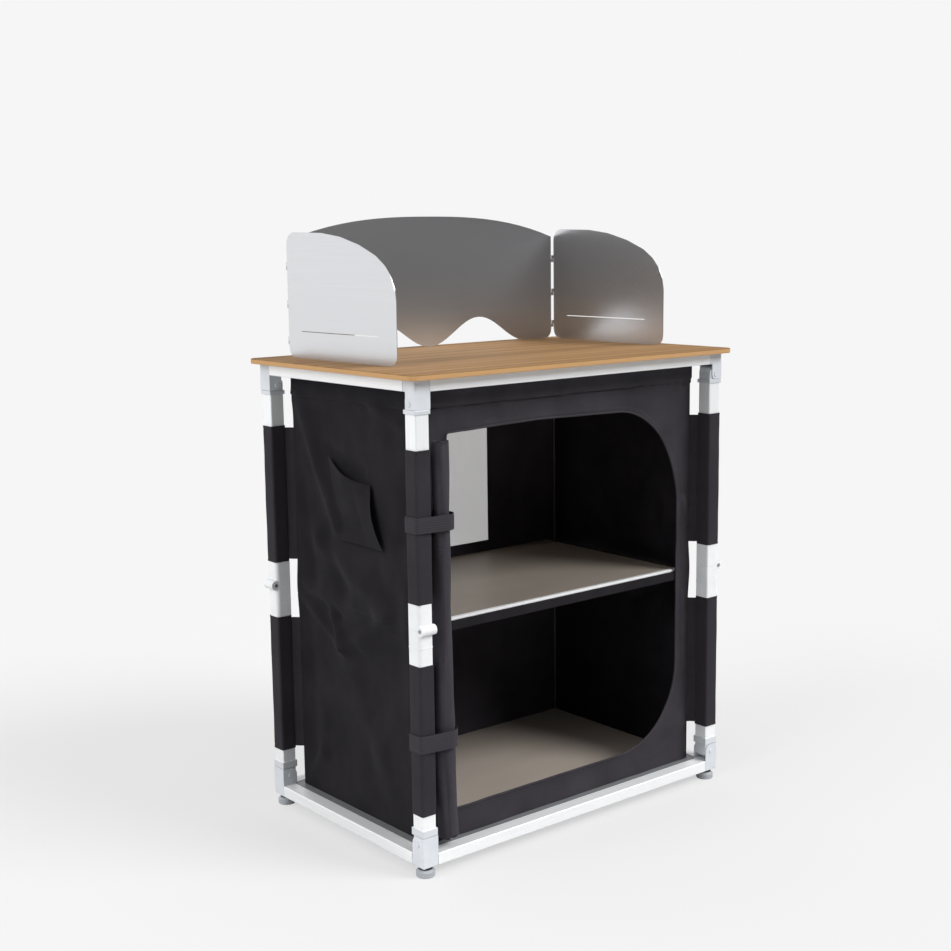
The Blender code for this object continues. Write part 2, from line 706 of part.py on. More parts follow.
# Cloth box: left, back and right walls are one piece.
cloth_low = BASE_RAIL_HIGH + GAP
cloth_high = TOP_RAIL_LOW - GAP
skin = CLOTH / 2
walls = box((-WALL_X - skin, WALL_FRONT_Y, cloth_low), (WALL_X + skin, WALL_BACK_Y + skin, cloth_high))
room_cut = box(
    (-WALL_X + skin, WALL_FRONT_Y - CLOTH, cloth_low - CLOTH),
    (WALL_X - skin, WALL_BACK_Y - skin, cloth_high + CLOTH),
)
window_cut = box(
    (-WINDOW_HALF_WIDTH, WALL_BACK_Y - CLOTH, WINDOW_LOW),
    (WINDOW_HALF_WIDTH, WALL_BACK_Y + CLOTH, WINDOW_HIGH),
)
place("cloth_walls", baked(walls, removed=(room_cut, window_cut)), "black_cloth")
window_mesh = box(
    (-WINDOW_HALF_WIDTH + GAP, WALL_BACK_Y - WINDOW_CLOTH / 2, WINDOW_LOW + GAP),
    (WINDOW_HALF_WIDTH - GAP, WALL_BACK_Y + WINDOW_CLOTH / 2, WINDOW_HIGH - GAP),
)
place("mesh_window", baked(window_mesh), "grey_mesh")


def quarter_ellipse(centre_u, centre_v, reach_u, reach_v, start):
    """A quarter ellipse from the angle start, turning left."""
    loop = []
    for step in range(CURVE_STEPS + 1):
        angle = start + math.pi / 2 * step / CURVE_STEPS
        loop.append((centre_u + reach_u * math.cos(angle), centre_v + reach_v * math.sin(angle)))
    return loop


def drawn_quarter(corner_u, corner_v, start):
    return quarter_ellipse(corner_u, corner_v, OPENING_CORNER, OPENING_CORNER, start)


left_u = OPENING_LEFT + OPENING_CORNER
opening = [
    *drawn_quarter(left_u, OPENING_LOW + OPENING_CORNER, math.pi),
    *quarter_ellipse(
        OPENING_RIGHT - OPENING_LOW_REACH,
        OPENING_LOW + OPENING_LOW_RISE,
        OPENING_LOW_REACH,
        OPENING_LOW_RISE,
        -math.pi / 2,
    ),
    *quarter_ellipse(
        OPENING_RIGHT - OPENING_TOP_REACH,
        OPENING_HIGH - OPENING_TOP_DROP,
        OPENING_TOP_REACH,
        OPENING_TOP_DROP,
        0,
    ),
    *drawn_quarter(left_u, OPENING_HIGH - OPENING_CORNER, math.pi / 2),
]
panel_half = WALL_X - skin - GAP
panel_loop = rectangle(-panel_half, cloth_low, panel_half, cloth_high, GAP)
panel = outline_solid((panel_loop, opening), -WALL_FRONT_Y - skin, -WALL_FRONT_Y + skin, ACROSS)
place("front_panel", baked(panel), "black_cloth")

# Patch pocket, open at its top edge.
work = bmesh.new()
bmesh.ops.create_grid(work, x_segments=POCKET_CELLS, y_segments=POCKET_CELLS, size=1)
front_low = Vector(POCKET_FRONT_LOW)
back_low = Vector(POCKET_BACK_LOW)
front_top = Vector(POCKET_FRONT_TOP)
back_top = Vector(POCKET_BACK_TOP)
for vertex in work.verts:
    across = (vertex.co.x + 1) / 2
    rise = (vertex.co.y + 1) / 2
    low_point = front_low.lerp(back_low, across)
    spot = low_point.lerp(front_top.lerp(back_top, across), rise)
    bulge = math.sin(math.pi * across) * math.sin(math.pi / 2 * rise) * POCKET_BULGE
    vertex.co = (-WALL_X - CLOTH - GAP * 2 - bulge, spot.x, spot.y)
bmesh.ops.recalc_face_normals(work, faces=work.faces)
pocket = draft_from(work)
thick = pocket.modifiers.new("thickness", "SOLIDIFY")
thick.thickness = CLOTH
thick.offset = 0
place("side_pocket", baked(pocket), "black_cloth")


def roll_share(height):
    return (height - ROLL_LOW) / (ROLL_HIGH - ROLL_LOW)


def roll_radius(height):
    return ROLL_LOW_RADIUS + (ROLL_HIGH_RADIUS - ROLL_LOW_RADIUS) * roll_share(height)


def roll_middle_x(height):
    return ROLL_X + ROLL_SWAY * math.sin(math.tau * roll_share(height))


# Rolled door: a coarse cage with shallow lumps, smoothed. Its waves are level under the straps.
work = bmesh.new()
bmesh.ops.create_cone(
    work,
    cap_ends=True,
    segments=ROLL_SIDES,
    radius1=1,
    radius2=1,
    depth=ROLL_HIGH - ROLL_LOW,
    matrix=Matrix.Translation((0, 0, (ROLL_LOW + ROLL_HIGH) / 2)),
)
for ring in range(1, ROLL_RINGS):
    level = ROLL_LOW + (ROLL_HIGH - ROLL_LOW) * ring / ROLL_RINGS
    everything = [*work.verts, *work.edges, *work.faces]
    bmesh.ops.bisect_plane(work, geom=everything, plane_co=(0, 0, level), plane_no=(0, 0, 1))
for vertex in work.verts:
    share = roll_share(vertex.co.z)
    angle = math.atan2(vertex.co.y, vertex.co.x)
    wave = math.sin(2 * angle + math.tau * ROLL_TURNS * share) * math.cos(math.tau * ROLL_WAVES * share)
    radius = (roll_radius(vertex.co.z) + ROLL_LUMP * wave) / math.cos(math.pi / ROLL_SIDES)
    vertex.co.x = roll_middle_x(vertex.co.z) + radius * math.cos(angle)
    vertex.co.y = ROLL_Y + radius * math.sin(angle)
roll = draft_from(work)
smooth = roll.modifiers.new("smooth", "SUBSURF")
smooth.levels = 1
smooth.render_levels = 1
place("door_roll", baked(roll), "black_cloth")


def hull(points):
    """The outline of a string pulled tight around the points."""
    ordered = sorted((round(u / WELD) * WELD, round(v / WELD) * WELD) for u, v in points)
    chains = []
    for run in (ordered, ordered[::-1]):
        chain = []
        for point in run:
            while len(chain) > 1:
                (first_u, first_v), (last_u, last_v) = chain[-2:]
                ahead = (last_u - first_u) * (point[1] - first_v)
                if ahead - (last_v - first_v) * (point[0] - first_u) > 0:
                    break
                chain.pop()
            chain.append(point)
        chains += chain[:-1]
    return chains


def strap_loop(grow, radius, middle_x):
    """Around the post's sleeve and the roll beside it, seen from above."""
    side = TUBE / 2 + GAP + SLEEVE_WALL + STRAP_SLACK + grow
    corner = STRAP_CORNER + grow
    points = []
    for quarter, (sign_x, sign_y) in enumerate(((1, 1), (-1, 1), (-1, -1), (1, -1))):
        start = quarter * math.pi / 2
        corner_x = -POST_X + sign_x * (side - corner)
        corner_y = -POST_Y + sign_y * (side - corner)
        points += quarter_ellipse(corner_x, corner_y, corner, corner, start)
        points += quarter_ellipse(middle_x, ROLL_Y, radius + grow, radius + grow, start)
    return hull(points)


for strap_name, strap_low, strap_high in STRAP_SPANS:
    room = roll_radius(strap_low) + STRAP_SLACK
    middle = roll_middle_x((strap_low + strap_high) / 2)
    loops = (strap_loop(STRAP, room, middle), strap_loop(0, room, middle))
    band = outline_solid(loops, strap_low, strap_high)
    place("roll_strap_" + strap_name, baked(band), "black_cloth")

# Windscreen. Heights are above the worktop, on which it stands.
screen_floor = WORKTOP_TOP + GAP
screen_middle = (SCREEN_LEFT_X + SCREEN_RIGHT_X) / 2
screen_half = (SCREEN_RIGHT_X - SCREEN_LEFT_X) / 2
plate_edge = EYE_RADIUS + GAP


def add_eyes(joined, axis_x, floor, below, inward, placement):
    """Eyes on a hinge axis, and the tabs that join them to the plate's edge."""
    for height in HINGE_HEIGHTS:
        low = floor + (height - HINGE_HALF if below else height + GAP / 2)
        high = floor + (height - GAP / 2 if below else height + HINGE_HALF)
        joined.append(rod(EYE_RADIUS, (axis_x, 0, low), (axis_x, 0, high), SMALL_ROUND_STEPS))
        ends = sorted((axis_x, axis_x + inward * plate_edge * 2))
        thin = SCREEN / 2 - TAB_INSET
        tab = box((ends[0], PLATE_OFFSET - thin, low + GAP), (ends[1], PLATE_OFFSET + thin, high - GAP))
        tab.matrix_world = placement
        joined.append(tab)


def top_edge(distance):
    """Height of the back plate's upper edge at a distance from its middle."""
    return SCREEN_MIDDLE_HEIGHT - SCREEN_DROP * (abs(distance) / screen_half) ** SCREEN_DROP_POWER


low_edge = []
for step in range(4 * ARCH_STEPS + 1):
    place_u = LOBE_PITCH * (step / (2 * ARCH_STEPS) - 1)
    rise = ARCH_HEIGHT * (1 - math.cos(math.tau * place_u / LOBE_PITCH)) / 2
    low_edge.append((place_u, rise, 0))
edge_u = screen_half - plate_edge
back_points = [(-edge_u, 0, SCREEN_CORNER), *low_edge, (edge_u, 0, SCREEN_CORNER)]
for step in range(TOP_EDGE_STEPS + 1):
    place_u = edge_u * (1 - 2 * step / TOP_EDGE_STEPS)
    back_points.append((place_u, top_edge(place_u), 0))
back_spot = Matrix.Translation((0, PLATE_OFFSET, screen_floor))
back_plate = outline_solid((rounded(back_points),), -SCREEN / 2, SCREEN / 2, back_spot @ ACROSS)
joined = []
for axis_x in (-screen_half, screen_half):
    add_eyes(joined, axis_x, screen_floor, True, -math.copysign(1, axis_x), Matrix())
    for height in HINGE_HEIGHTS:
        pin_foot = screen_floor + height - HINGE_HALF / 2
        pin_top = screen_floor + height + HINGE_HALF
        joined.append(rod(SCREEN_PIN_RADIUS, (axis_x, 0, pin_foot), (axis_x, 0, pin_top), SMALL_ROUND_STEPS))
back_mesh = baked(back_plate, joined)
back_place = Vector((screen_middle, SCREEN_HINGE_Y, 0)) - top_pivot
place("windscreen_back", back_mesh, "screen_aluminium", top_axis, back_place)

wing_points = [(plate_edge, 0, SCREEN_CORNER)]
wing_points += [(WING_REACH - inset, height, radius) for inset, height, radius in WING_POINTS]
wing_points.append((plate_edge, *WING_REAR_TOP))
slit = (
    (SLIT_FROM, SLIT_HEIGHT - SLIT_WIDTH / 2),
    (SLIT_TO, SLIT_HEIGHT - SLIT_WIDTH / 2),
    (SLIT_TO, SLIT_HEIGHT + SLIT_WIDTH / 2),
    (SLIT_FROM, SLIT_HEIGHT + SLIT_WIDTH / 2),
)


def wing(side):
    """A wing about its hinge axis, running toward -Y. Side is -1 on the left, with the plate outside."""
    toe = Matrix.Rotation(-side * TOE_IN, 4, "Z")
    upright = toe @ Matrix(((0, 0, -1, 0), (-1, 0, 0, 0), (0, 1, 0, 0), (0, 0, 0, 1)))
    outside = -side * PLATE_OFFSET
    loops = (rounded(wing_points), slit)
    plate = outline_solid(loops, outside - SCREEN / 2, outside + SCREEN / 2, upright)
    joined = []
    sideways = toe @ Matrix.Rotation(-side * math.pi / 2, 4, "Z")
    add_eyes(joined, 0, 0, False, side, sideways)
    hole = rod(SCREEN_PIN_RADIUS + GAP, (0, 0, 0), (0, 0, SCREEN_MIDDLE_HEIGHT), SMALL_ROUND_STEPS)
    return baked(plate, joined, (hole,))


for name, side, hinge_x in (("left", -1, SCREEN_LEFT_X), ("right", 1, SCREEN_RIGHT_X)):
    wing_axis = joint_empty("axis_wing_" + name, (hinge_x, SCREEN_HINGE_Y, screen_floor))
    place("windscreen_wing_" + name, wing(side), "screen_aluminium", wing_axis)

bpy.data.collections.remove(bench)
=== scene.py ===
import math

import bpy
from mathutils import Matrix, Vector, noise


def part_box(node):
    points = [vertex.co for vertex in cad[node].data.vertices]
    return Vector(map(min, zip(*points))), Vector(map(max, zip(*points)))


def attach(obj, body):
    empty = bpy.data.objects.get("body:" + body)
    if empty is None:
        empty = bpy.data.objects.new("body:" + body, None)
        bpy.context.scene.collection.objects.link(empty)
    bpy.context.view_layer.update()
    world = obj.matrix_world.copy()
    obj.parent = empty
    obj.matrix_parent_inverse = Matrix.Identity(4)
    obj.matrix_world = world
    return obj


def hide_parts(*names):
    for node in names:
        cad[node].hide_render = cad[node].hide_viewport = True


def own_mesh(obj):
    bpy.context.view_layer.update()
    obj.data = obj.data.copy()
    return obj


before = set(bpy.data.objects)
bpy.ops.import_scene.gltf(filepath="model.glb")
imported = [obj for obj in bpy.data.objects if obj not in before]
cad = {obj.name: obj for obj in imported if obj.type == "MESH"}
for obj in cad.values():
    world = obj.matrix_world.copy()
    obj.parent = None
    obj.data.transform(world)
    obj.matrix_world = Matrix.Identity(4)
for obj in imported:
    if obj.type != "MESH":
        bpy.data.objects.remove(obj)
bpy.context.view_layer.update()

clothFloor = 0.0428  # the cloth's lower edge, on the ledge of the base rails
seamWidth = 0.0012
seamLines = (-0.0022, -0.0008, 0.0008, 0.0022)  # extra lines beside a seam, so that its dent shows
print("stage: CAD frame loaded")


# A colour as on a screen, as Blender's linear light.
def toLinear(hexColour):
    parts = [int(hexColour[place:place + 2], 16) / 255 for place in (1, 3, 5)]
    linear = [part / 12.92 if part <= 0.04045 else ((part + 0.055) / 1.055) ** 2.4 for part in parts]
    return (*linear, 1.0)


# Adds one shader node. An input is a plain value or the socket that feeds it,
# into is the socket that the chosen output goes to, and stops fill a colour ramp.
def addNode(tree, kind, inputs, out=0, into=None, stops=(), **settings):
    node = tree.nodes.new("ShaderNode" + kind)
    for name, value in settings.items():
        setattr(node, name, value)
    for name, value in inputs.items():
        if isinstance(value, bpy.types.NodeSocket):
            tree.links.new(value, node.inputs[name])
        else:
            node.inputs[name].default_value = value
    if stops:
        elements = node.color_ramp.elements
        while len(elements) < len(stops):
            elements.new(0.5)
        for element, (position, colour) in zip(elements, stops):
            element.position = position
            element.color = toLinear(colour)
    if into is not None:
        tree.links.new(node.outputs[out], into)
    return node.outputs[out]


# A Principled material: constants go to its sockets by their names with the spaces left out.
# It comes with its tree, its sockets, and the point on the piece in metres, for patterns to start from.
def newFinish(name, **constants):
    material = bpy.data.materials.new(name)
    material.use_nodes = True
    tree = material.node_tree
    sockets = tree.nodes["Principled BSDF"].inputs
    for socket in sockets:
        key = socket.name.replace(" ", "")
        if key in constants:
            socket.default_value = constants[key]
    return material, tree, sockets, addNode(tree, "TexCoord", {}, out="Object")


# Colours a finish in clouds from dark to light, and gives back the clouds for its relief.
def mottle(tree, sockets, point, look, scale, detail, stretch=(1, 1, 1)):
    stretched = addNode(tree, "Mapping", {"Vector": point, "Scale": stretch})
    clouds = addNode(tree, "TexNoise", {"Vector": stretched, "Scale": scale, "Detail": detail})
    stops = ((0.3, look["dark"]), (0.7, look["light"]))
    addNode(tree, "ValToRGB", {"Fac": clouds}, into=sockets["Base Color"], stops=stops)
    return clouds


# Threads that lie across a direction, one wave for each pitch.
def threads(tree, point, direction, pitch):
    turns = [part * math.tau / pitch for part in direction]
    along = addNode(tree, "VectorMath", {0: point, 1: turns}, out="Value", operation="DOT_PRODUCT")
    return addNode(tree, "Math", {0: along}, operation="SINE")


clothLook = {
    "dark": "#19171b",
    "light": "#222024",
    "mottle": 14,
    "weave": 0.003,
    "weaveHeight": 0.00022,
    "roughness": 0.85,
    "sheen": 0.04,
}


# Woven polyester: a dull charcoal that catches a soft grey light along its folds.
def makeCloth(name, look):
    material, tree, sockets, point = newFinish(
        name, Roughness=look["roughness"], SheenWeight=look["sheen"], SheenRoughness=0.45, SpecularIORLevel=0.08,
    )
    mottle(tree, sockets, point, look, look["mottle"], 4)
    # The real threads are 0.4 mm apart, too fine for the picture, so the weave is drawn at 3 mm.
    level = threads(tree, point, (1, 1, 0), look["weave"])
    upright = threads(tree, point, (0, 0, 1), look["weave"])
    weave = addNode(tree, "Math", {0: level, 1: upright}, operation="MULTIPLY")
    addNode(tree, "Bump", {"Height": weave, "Distance": look["weaveHeight"]}, into=sockets["Normal"])
    return material


wallCloth = makeCloth("charcoalPolyester", clothLook)
# The same cloth in lit and shaded copies, as painted light: the front panel, back wall, sleeves, webs, door and
# opening piping are painted a touch paler than the walls, pocket and sling.
panelClothPaintedLight = makeCloth("charcoalPolyesterFront", {**clothLook, "dark": "#302e32", "light": "#3a373c"})
sleeveClothPaintedLight = makeCloth("charcoalPolyesterSleeve", {**clothLook, "dark": "#2c2a2e", "light": "#322f34"})
doorClothPaintedLight = makeCloth("charcoalPolyesterDoor", {**clothLook, "dark": "#37343a", "light": "#3e3b40"})

webbingLook = {"dark": "#2f2d31", "light": "#363439", "rib": 0.0042, "ribHeight": 0.0001}


# Woven webbing: level ribs that show as fine light and dark lines, as painted shade and light: the hollows between
# ribs are coloured darker and the crests paler.
def makeWebbing(name, look):
    material, tree, sockets, point = newFinish(
        name, Roughness=0.8, SheenWeight=0.06, SheenRoughness=0.4, SpecularIORLevel=0.15,
    )
    # The real ribs are about 1.1 mm apart, too fine to show, and are drawn at 4.2 mm.
    ribs = threads(tree, point, (0, 0, 1), look["rib"])
    # Painted shade: the colour darkens in the rib hollows where the bump is low.
    share = addNode(tree, "MapRange", {"Value": ribs, "From Min": -1, "From Max": 1})
    stops = ((0, look["dark"]), (1, look["light"]))
    addNode(tree, "ValToRGB", {"Fac": share}, into=sockets["Base Color"], stops=stops)
    addNode(tree, "Bump", {"Height": ribs, "Distance": look["ribHeight"]}, into=sockets["Normal"])
    return material


webbing = makeWebbing("ribbedWebbing", webbingLook)
paleBinding = makeWebbing("greyBinding", {**webbingLook, "dark": "#57555a", "light": "#6b696e"})

meshLook = {"dark": "#c9c7c8", "light": "#dedcdd", "pitch": 0.004, "alpha": 0.40}


# Knitted fly mesh: pale grey that lets the background through.
def makeMesh(name, look):
    material, tree, sockets, point = newFinish(name, Roughness=0.9, Alpha=look["alpha"], SpecularIORLevel=0.2)
    # The real holes are about 1 mm and are drawn at 4 mm.
    level = threads(tree, point, (1, 0, 0), look["pitch"])
    upright = threads(tree, point, (0, 0, 1), look["pitch"])
    cells = addNode(tree, "Math", {0: level, 1: upright}, operation="MULTIPLY")
    share = addNode(tree, "MapRange", {"Value": cells, "From Min": -1, "From Max": 1})
    stops = ((0, look["dark"]), (1, look["light"]))
    addNode(tree, "ValToRGB", {"Fac": share}, into=sockets["Base Color"], stops=stops)
    return material


flyMesh = makeMesh("greyFlyMesh", meshLook)

metalLook = {"dark": "#e7e9ea", "light": "#f1f2f3", "roughness": 0.42, "metallic": 0.25, "grainHeight": 0.00004}
grainAlongX, grainAlongY, grainAlongZ = (9, 700, 700), (700, 9, 700), (700, 700, 9)


# Satin anodised aluminium: near white, with a soft drawn grain along the tube.
def makeAnodised(name, look, grainStretch):
    material, tree, sockets, point = newFinish(name, Metallic=look["metallic"], Roughness=look["roughness"])
    grain = mottle(tree, sockets, point, look, 1, 3, grainStretch)
    addNode(tree, "Bump", {"Height": grain, "Distance": look["grainHeight"]}, into=sockets["Normal"])
    return material, tree, sockets, point


railAlongX = makeAnodised("anodisedRailAcross", metalLook, grainAlongX)[0]
railAlongY = makeAnodised("anodisedRailDeep", metalLook, grainAlongY)[0]

# Painted shade for the base rails' inner ledge: a darker grey where the cloth and the rail shade it.
ledgeShadeLook = {"colour": "#808285", "insideX": 0.3625, "insideY": 0.2225}


# A base rail: bright anodised outside, with painted shade on the ledge inside its groove, which is coloured a darker
# grey.
def makeBaseRail(name, look, ledge, grainStretch):
    material, tree, sockets, point = makeAnodised(name, look, grainStretch)
    outside = sockets["Base Color"].links[0].from_socket
    parts = addNode(tree, "SeparateXYZ", {"Vector": point}).node.outputs
    reachX = addNode(tree, "Math", {0: parts["X"]}, operation="ABSOLUTE")
    reachY = addNode(tree, "Math", {0: parts["Y"]}, operation="ABSOLUTE")
    insideX = addNode(tree, "Math", {0: reachX, 1: ledge["insideX"]}, operation="LESS_THAN")
    insideY = addNode(tree, "Math", {0: reachY, 1: ledge["insideY"]}, operation="LESS_THAN")
    # Painted shade: the inner ledge is coloured darker grey.
    ledgePaintedShade = addNode(tree, "Math", {0: insideX, 1: insideY}, operation="MULTIPLY")
    addNode(
        tree, "Mix", {0: ledgePaintedShade, 6: outside, 7: toLinear(ledge["colour"])},
        out=2, into=sockets["Base Color"], data_type="RGBA",
    )
    return material


baseAlongX = makeBaseRail("anodisedBaseAcross", metalLook, ledgeShadeLook, grainAlongX)
baseAlongY = makeBaseRail("anodisedBaseDeep", metalLook, ledgeShadeLook, grainAlongY)

plasticLook = {
    "dark": "#c6cad0",
    "light": "#d0d4d9",
    "roughness": 0.5,
    "cloud": 22,
    "grain": 650,
    "grainHeight": 0.00006,
}


# Moulded nylon: cool light grey with a fine spark-eroded skin.
def makePlastic(name, look):
    material, tree, sockets, point = newFinish(name, Roughness=look["roughness"], SpecularIORLevel=0.45)
    mottle(tree, sockets, point, look, look["cloud"], 2)
    grain = addNode(tree, "TexNoise", {"Vector": point, "Scale": look["grain"], "Detail": 2})
    addNode(tree, "Bump", {"Height": grain, "Distance": look["grainHeight"]}, into=sockets["Normal"])
    return material


blockPlastic = makePlastic("blueGreyNylon", plasticLook)
kneePlastic = makePlastic("paleNylon", {**plasticLook, "dark": "#dbdddf", "light": "#e3e5e7"})

postLook = {"lowerCollar": 0.092, "upperCollar": 0.840}


# A post: anodised tube, with the pale nylon plug and collar at its pivot end.
def makePost(name, look, plastic, edge, side):
    material, tree, sockets, point = makeAnodised(name, look, grainAlongZ)
    tube = sockets["Base Color"].links[0].from_socket
    height = addNode(tree, "SeparateXYZ", {"Vector": point}, out="Z")
    isPlastic = addNode(tree, "Math", {0: height, 1: edge}, operation=side)
    addNode(
        tree, "Mix", {0: isPlastic, 6: tube, 7: toLinear(plastic["light"])},
        out=2, into=sockets["Base Color"], data_type="RGBA",
    )
    return material


lowerPost = makePost("anodisedPostLower", metalLook, plasticLook, postLook["lowerCollar"], "LESS_THAN")
upperPost = makePost("anodisedPostUpper", metalLook, plasticLook, postLook["upperCollar"], "GREATER_THAN")

footLook = {"disc": "#9ea2a7", "neck": "#2b2b2d", "neckFrom": 0.0138, "roughness": 0.55}


# Moulded levelling foot: a grey disc, with painted shadow on the neck above it, coloured dark for the shade under the
# block.
def makeFoot(name, look):
    material, tree, sockets, point = newFinish(name, Roughness=look["roughness"])
    height = addNode(tree, "SeparateXYZ", {"Vector": point}, out="Z")
    # Painted shadow: above neckFrom the foot is coloured dark.
    isShadedNeck = addNode(tree, "Math", {0: height, 1: look["neckFrom"]}, operation="GREATER_THAN")
    stops = ((0, look["disc"]), (1, look["neck"]))
    addNode(tree, "ValToRGB", {"Fac": isShadedNeck}, into=sockets["Base Color"], stops=stops)
    return material


footFinish = makeFoot("greyFoot", footLook)

bambooLook = {
    "strip": 0.0205,
    "strips": ((0, "#6f5231"), (0.35, "#84633c"), (0.7, "#977550"), (1, "#7a5935")),
    "knot": 0.31,
    "knotWidth": 0.0010,
    "knotColour": "#6b4b2a",
    "knotShare": 0.25,
    "glueFrom": 0.475,  # share of half a strip at which its glue line starts
    "glueShare": 0.35,
    "grain": (7, 420, 420),
    "grainDark": "#6b4d2c",
    "grainLight": "#99794f",
    "grainShare": 0.42,
    "grainHeight": 0.00005,
    "edge": "#c1986a",
    "edgeBelow": 0.9086,
    "edgeShare": 0.85,
    "roughness": 0.62,
}


# Laminated bamboo: strips along the board, each its own tan, with dark nodes and fine fibres.
def makeBamboo(name, look):
    material, tree, sockets, point = newFinish(name, Roughness=look["roughness"], SpecularIORLevel=0.12)
    parts = addNode(tree, "SeparateXYZ", {"Vector": point}).node.outputs
    across = addNode(tree, "Math", {0: parts["Y"], 1: look["strip"]}, operation="DIVIDE")
    strip = addNode(tree, "Math", {0: across}, operation="FLOOR")
    chance = addNode(tree, "TexWhiteNoise", {"W": strip}, noise_dimensions="1D")
    board = addNode(tree, "ValToRGB", {"Fac": chance}, stops=look["strips"])

    grain = addNode(tree, "Mapping", {"Vector": point, "Scale": look["grain"]})
    fibres = addNode(tree, "TexNoise", {"Vector": grain, "Scale": 1, "Detail": 5, "Roughness": 0.6})
    fibreStops = ((0.3, look["grainDark"]), (0.72, look["grainLight"]))
    fibre = addNode(tree, "ValToRGB", {"Fac": fibres}, stops=fibreStops)
    grained = addNode(tree, "Mix", {0: look["grainShare"], 6: board, 7: fibre}, out=2, data_type="RGBA")

    shift = addNode(tree, "Math", {0: chance, 1: look["knot"]}, operation="MULTIPLY")
    along = addNode(tree, "Math", {0: parts["X"], 1: shift}, operation="ADD")
    place = addNode(tree, "Math", {0: along, 1: look["knot"] / 2}, operation="PINGPONG")
    near = addNode(tree, "Math", {0: place, 1: look["knotWidth"]}, operation="LESS_THAN")
    isKnot = addNode(tree, "Math", {0: near, 1: look["knotShare"]}, operation="MULTIPLY")
    knotColour = toLinear(look["knotColour"])
    knotted = addNode(tree, "Mix", {0: isKnot, 6: grained, 7: knotColour}, out=2, data_type="RGBA")

    inStrip = addNode(tree, "Math", {0: across}, operation="FRACT")
    offMiddle = addNode(tree, "Math", {0: inStrip, 1: 0.5}, operation="SUBTRACT")
    fromMiddle = addNode(tree, "Math", {0: offMiddle}, operation="ABSOLUTE")
    atGlue = addNode(tree, "Math", {0: fromMiddle, 1: look["glueFrom"]}, operation="GREATER_THAN")
    isGlue = addNode(tree, "Math", {0: atGlue, 1: look["glueShare"]}, operation="MULTIPLY")
    glued = addNode(tree, "Mix", {0: isGlue, 6: knotted, 7: knotColour}, out=2, data_type="RGBA")

    # The sides below the top face are coloured a paler tan.
    below = addNode(tree, "Math", {0: parts["Z"], 1: look["edgeBelow"]}, operation="LESS_THAN")
    isSide = addNode(tree, "Math", {0: below, 1: look["edgeShare"]}, operation="MULTIPLY")
    addNode(
        tree, "Mix", {0: isSide, 6: glued, 7: toLinear(look["edge"])},
        out=2, into=sockets["Base Color"], data_type="RGBA",
    )
    addNode(tree, "Bump", {"Height": fibres, "Distance": look["grainHeight"]}, into=sockets["Normal"])
    return material


bamboo = makeBamboo("laminatedBamboo", bambooLook)

laminateLook = {"dark": "#7e766e", "light": "#867e75", "roughness": 0.42}


# Laminated board: even taupe with a very slight cloud and a satin shine.
def makeLaminate(name, look):
    material, tree, sockets, point = newFinish(name, Roughness=look["roughness"])
    mottle(tree, sockets, point, look, 5, 6, (1, 3, 1))
    return material


laminate = makeLaminate("taupeLaminate", laminateLook)
# The base board is the same board, painted a touch paler as painted light, since it lies in shade inside the box.
baseLaminatePaintedLight = makeLaminate("taupeLaminateBase", {**laminateLook, "dark": "#a1978d", "light": "#a99f95"})

sheetLook = {"dark": "#dbdcdf", "light": "#e0e1e4", "roughness": 0.27}


# Brushed aluminium sheet: clean level brushing that streaks what it mirrors.
def makeBrushed(name, look):
    material, tree, sockets, point = newFinish(name, Metallic=1.0, Roughness=look["roughness"])
    mottle(tree, sockets, point, look, 1, 4, (4, 4, 1000))
    return material


brushedSheet = makeBrushed("brushedSheetAluminium", sheetLook)
brightTrim = makeAnodised(
    "brightTrim", {**metalLook, "dark": "#e9eaec", "light": "#f0f1f2", "roughness": 0.3}, grainAlongX,
)[0]
steel = makeAnodised(
    "zincedSteel", {**metalLook, "dark": "#8b8e92", "light": "#a9acb0", "metallic": 0.9, "roughness": 0.3},
    (300, 300, 300),
)[0]

nodeFinishes = {
    "base_block": blockPlastic,
    "top_block": blockPlastic,
    "knee_": kneePlastic,
    "post_lower": lowerPost,
    "post_upper": upperPost,
    "foot_": footFinish,
    "base_rail_front": baseAlongX,
    "base_rail_back": baseAlongX,
    "base_rail_left": baseAlongY,
    "base_rail_right": baseAlongY,
    "top_rail_front": railAlongX,
    "top_rail_back": railAlongX,
    "top_rail_left": railAlongY,
    "top_rail_right": railAlongY,
    "windscreen": brushedSheet,
    "worktop": bamboo,
    "base_board": baseLaminatePaintedLight,
    "shelf_board": laminate,
}
for node in cad:
    for start, finish in nodeFinishes.items():
        if node.startswith(start):
            for place in cad[node].material_slots:
                place.material = finish
print("stage: materials on the CAD nodes")


def deselectAll():
    for item in bpy.context.selected_objects:
        item.select_set(False)


def pick(piece):
    deselectAll()
    piece.select_set(True)
    bpy.context.view_layer.objects.active = piece


# Numbers from start to end about size apart, with a few close lines at each seam.
def steps(start, end, size, seams=()):
    count = max(1, round((end - start) / size))
    values = [start + (end - start) * index / count for index in range(count + 1)]
    for seam in seams:
        values = [value for value in values if abs(value - seam) > 0.004 or value in (start, end)]
        values += [seam + shift for shift in seamLines]
    return sorted(value for value in set(values) if start <= value <= end)


# A sheet of quads with one vertex for each pair of numbers.
def gridPiece(name, across, up, pointAt):
    deselectAll()
    bpy.ops.mesh.primitive_grid_add(x_subdivisions=len(across) - 1, y_subdivisions=len(up) - 1, size=1)
    piece = bpy.context.object
    piece.name = name
    for index, vertex in enumerate(piece.data.vertices):
        vertex.co = pointAt(across[index % len(across)], up[index // len(across)])
    return piece


def applied(piece, kind, **settings):
    pick(piece)
    modifier = piece.modifiers.new(kind.lower(), kind)
    for name, value in settings.items():
        setattr(modifier, name, value)
    bpy.ops.object.modifier_apply(modifier=modifier.name)


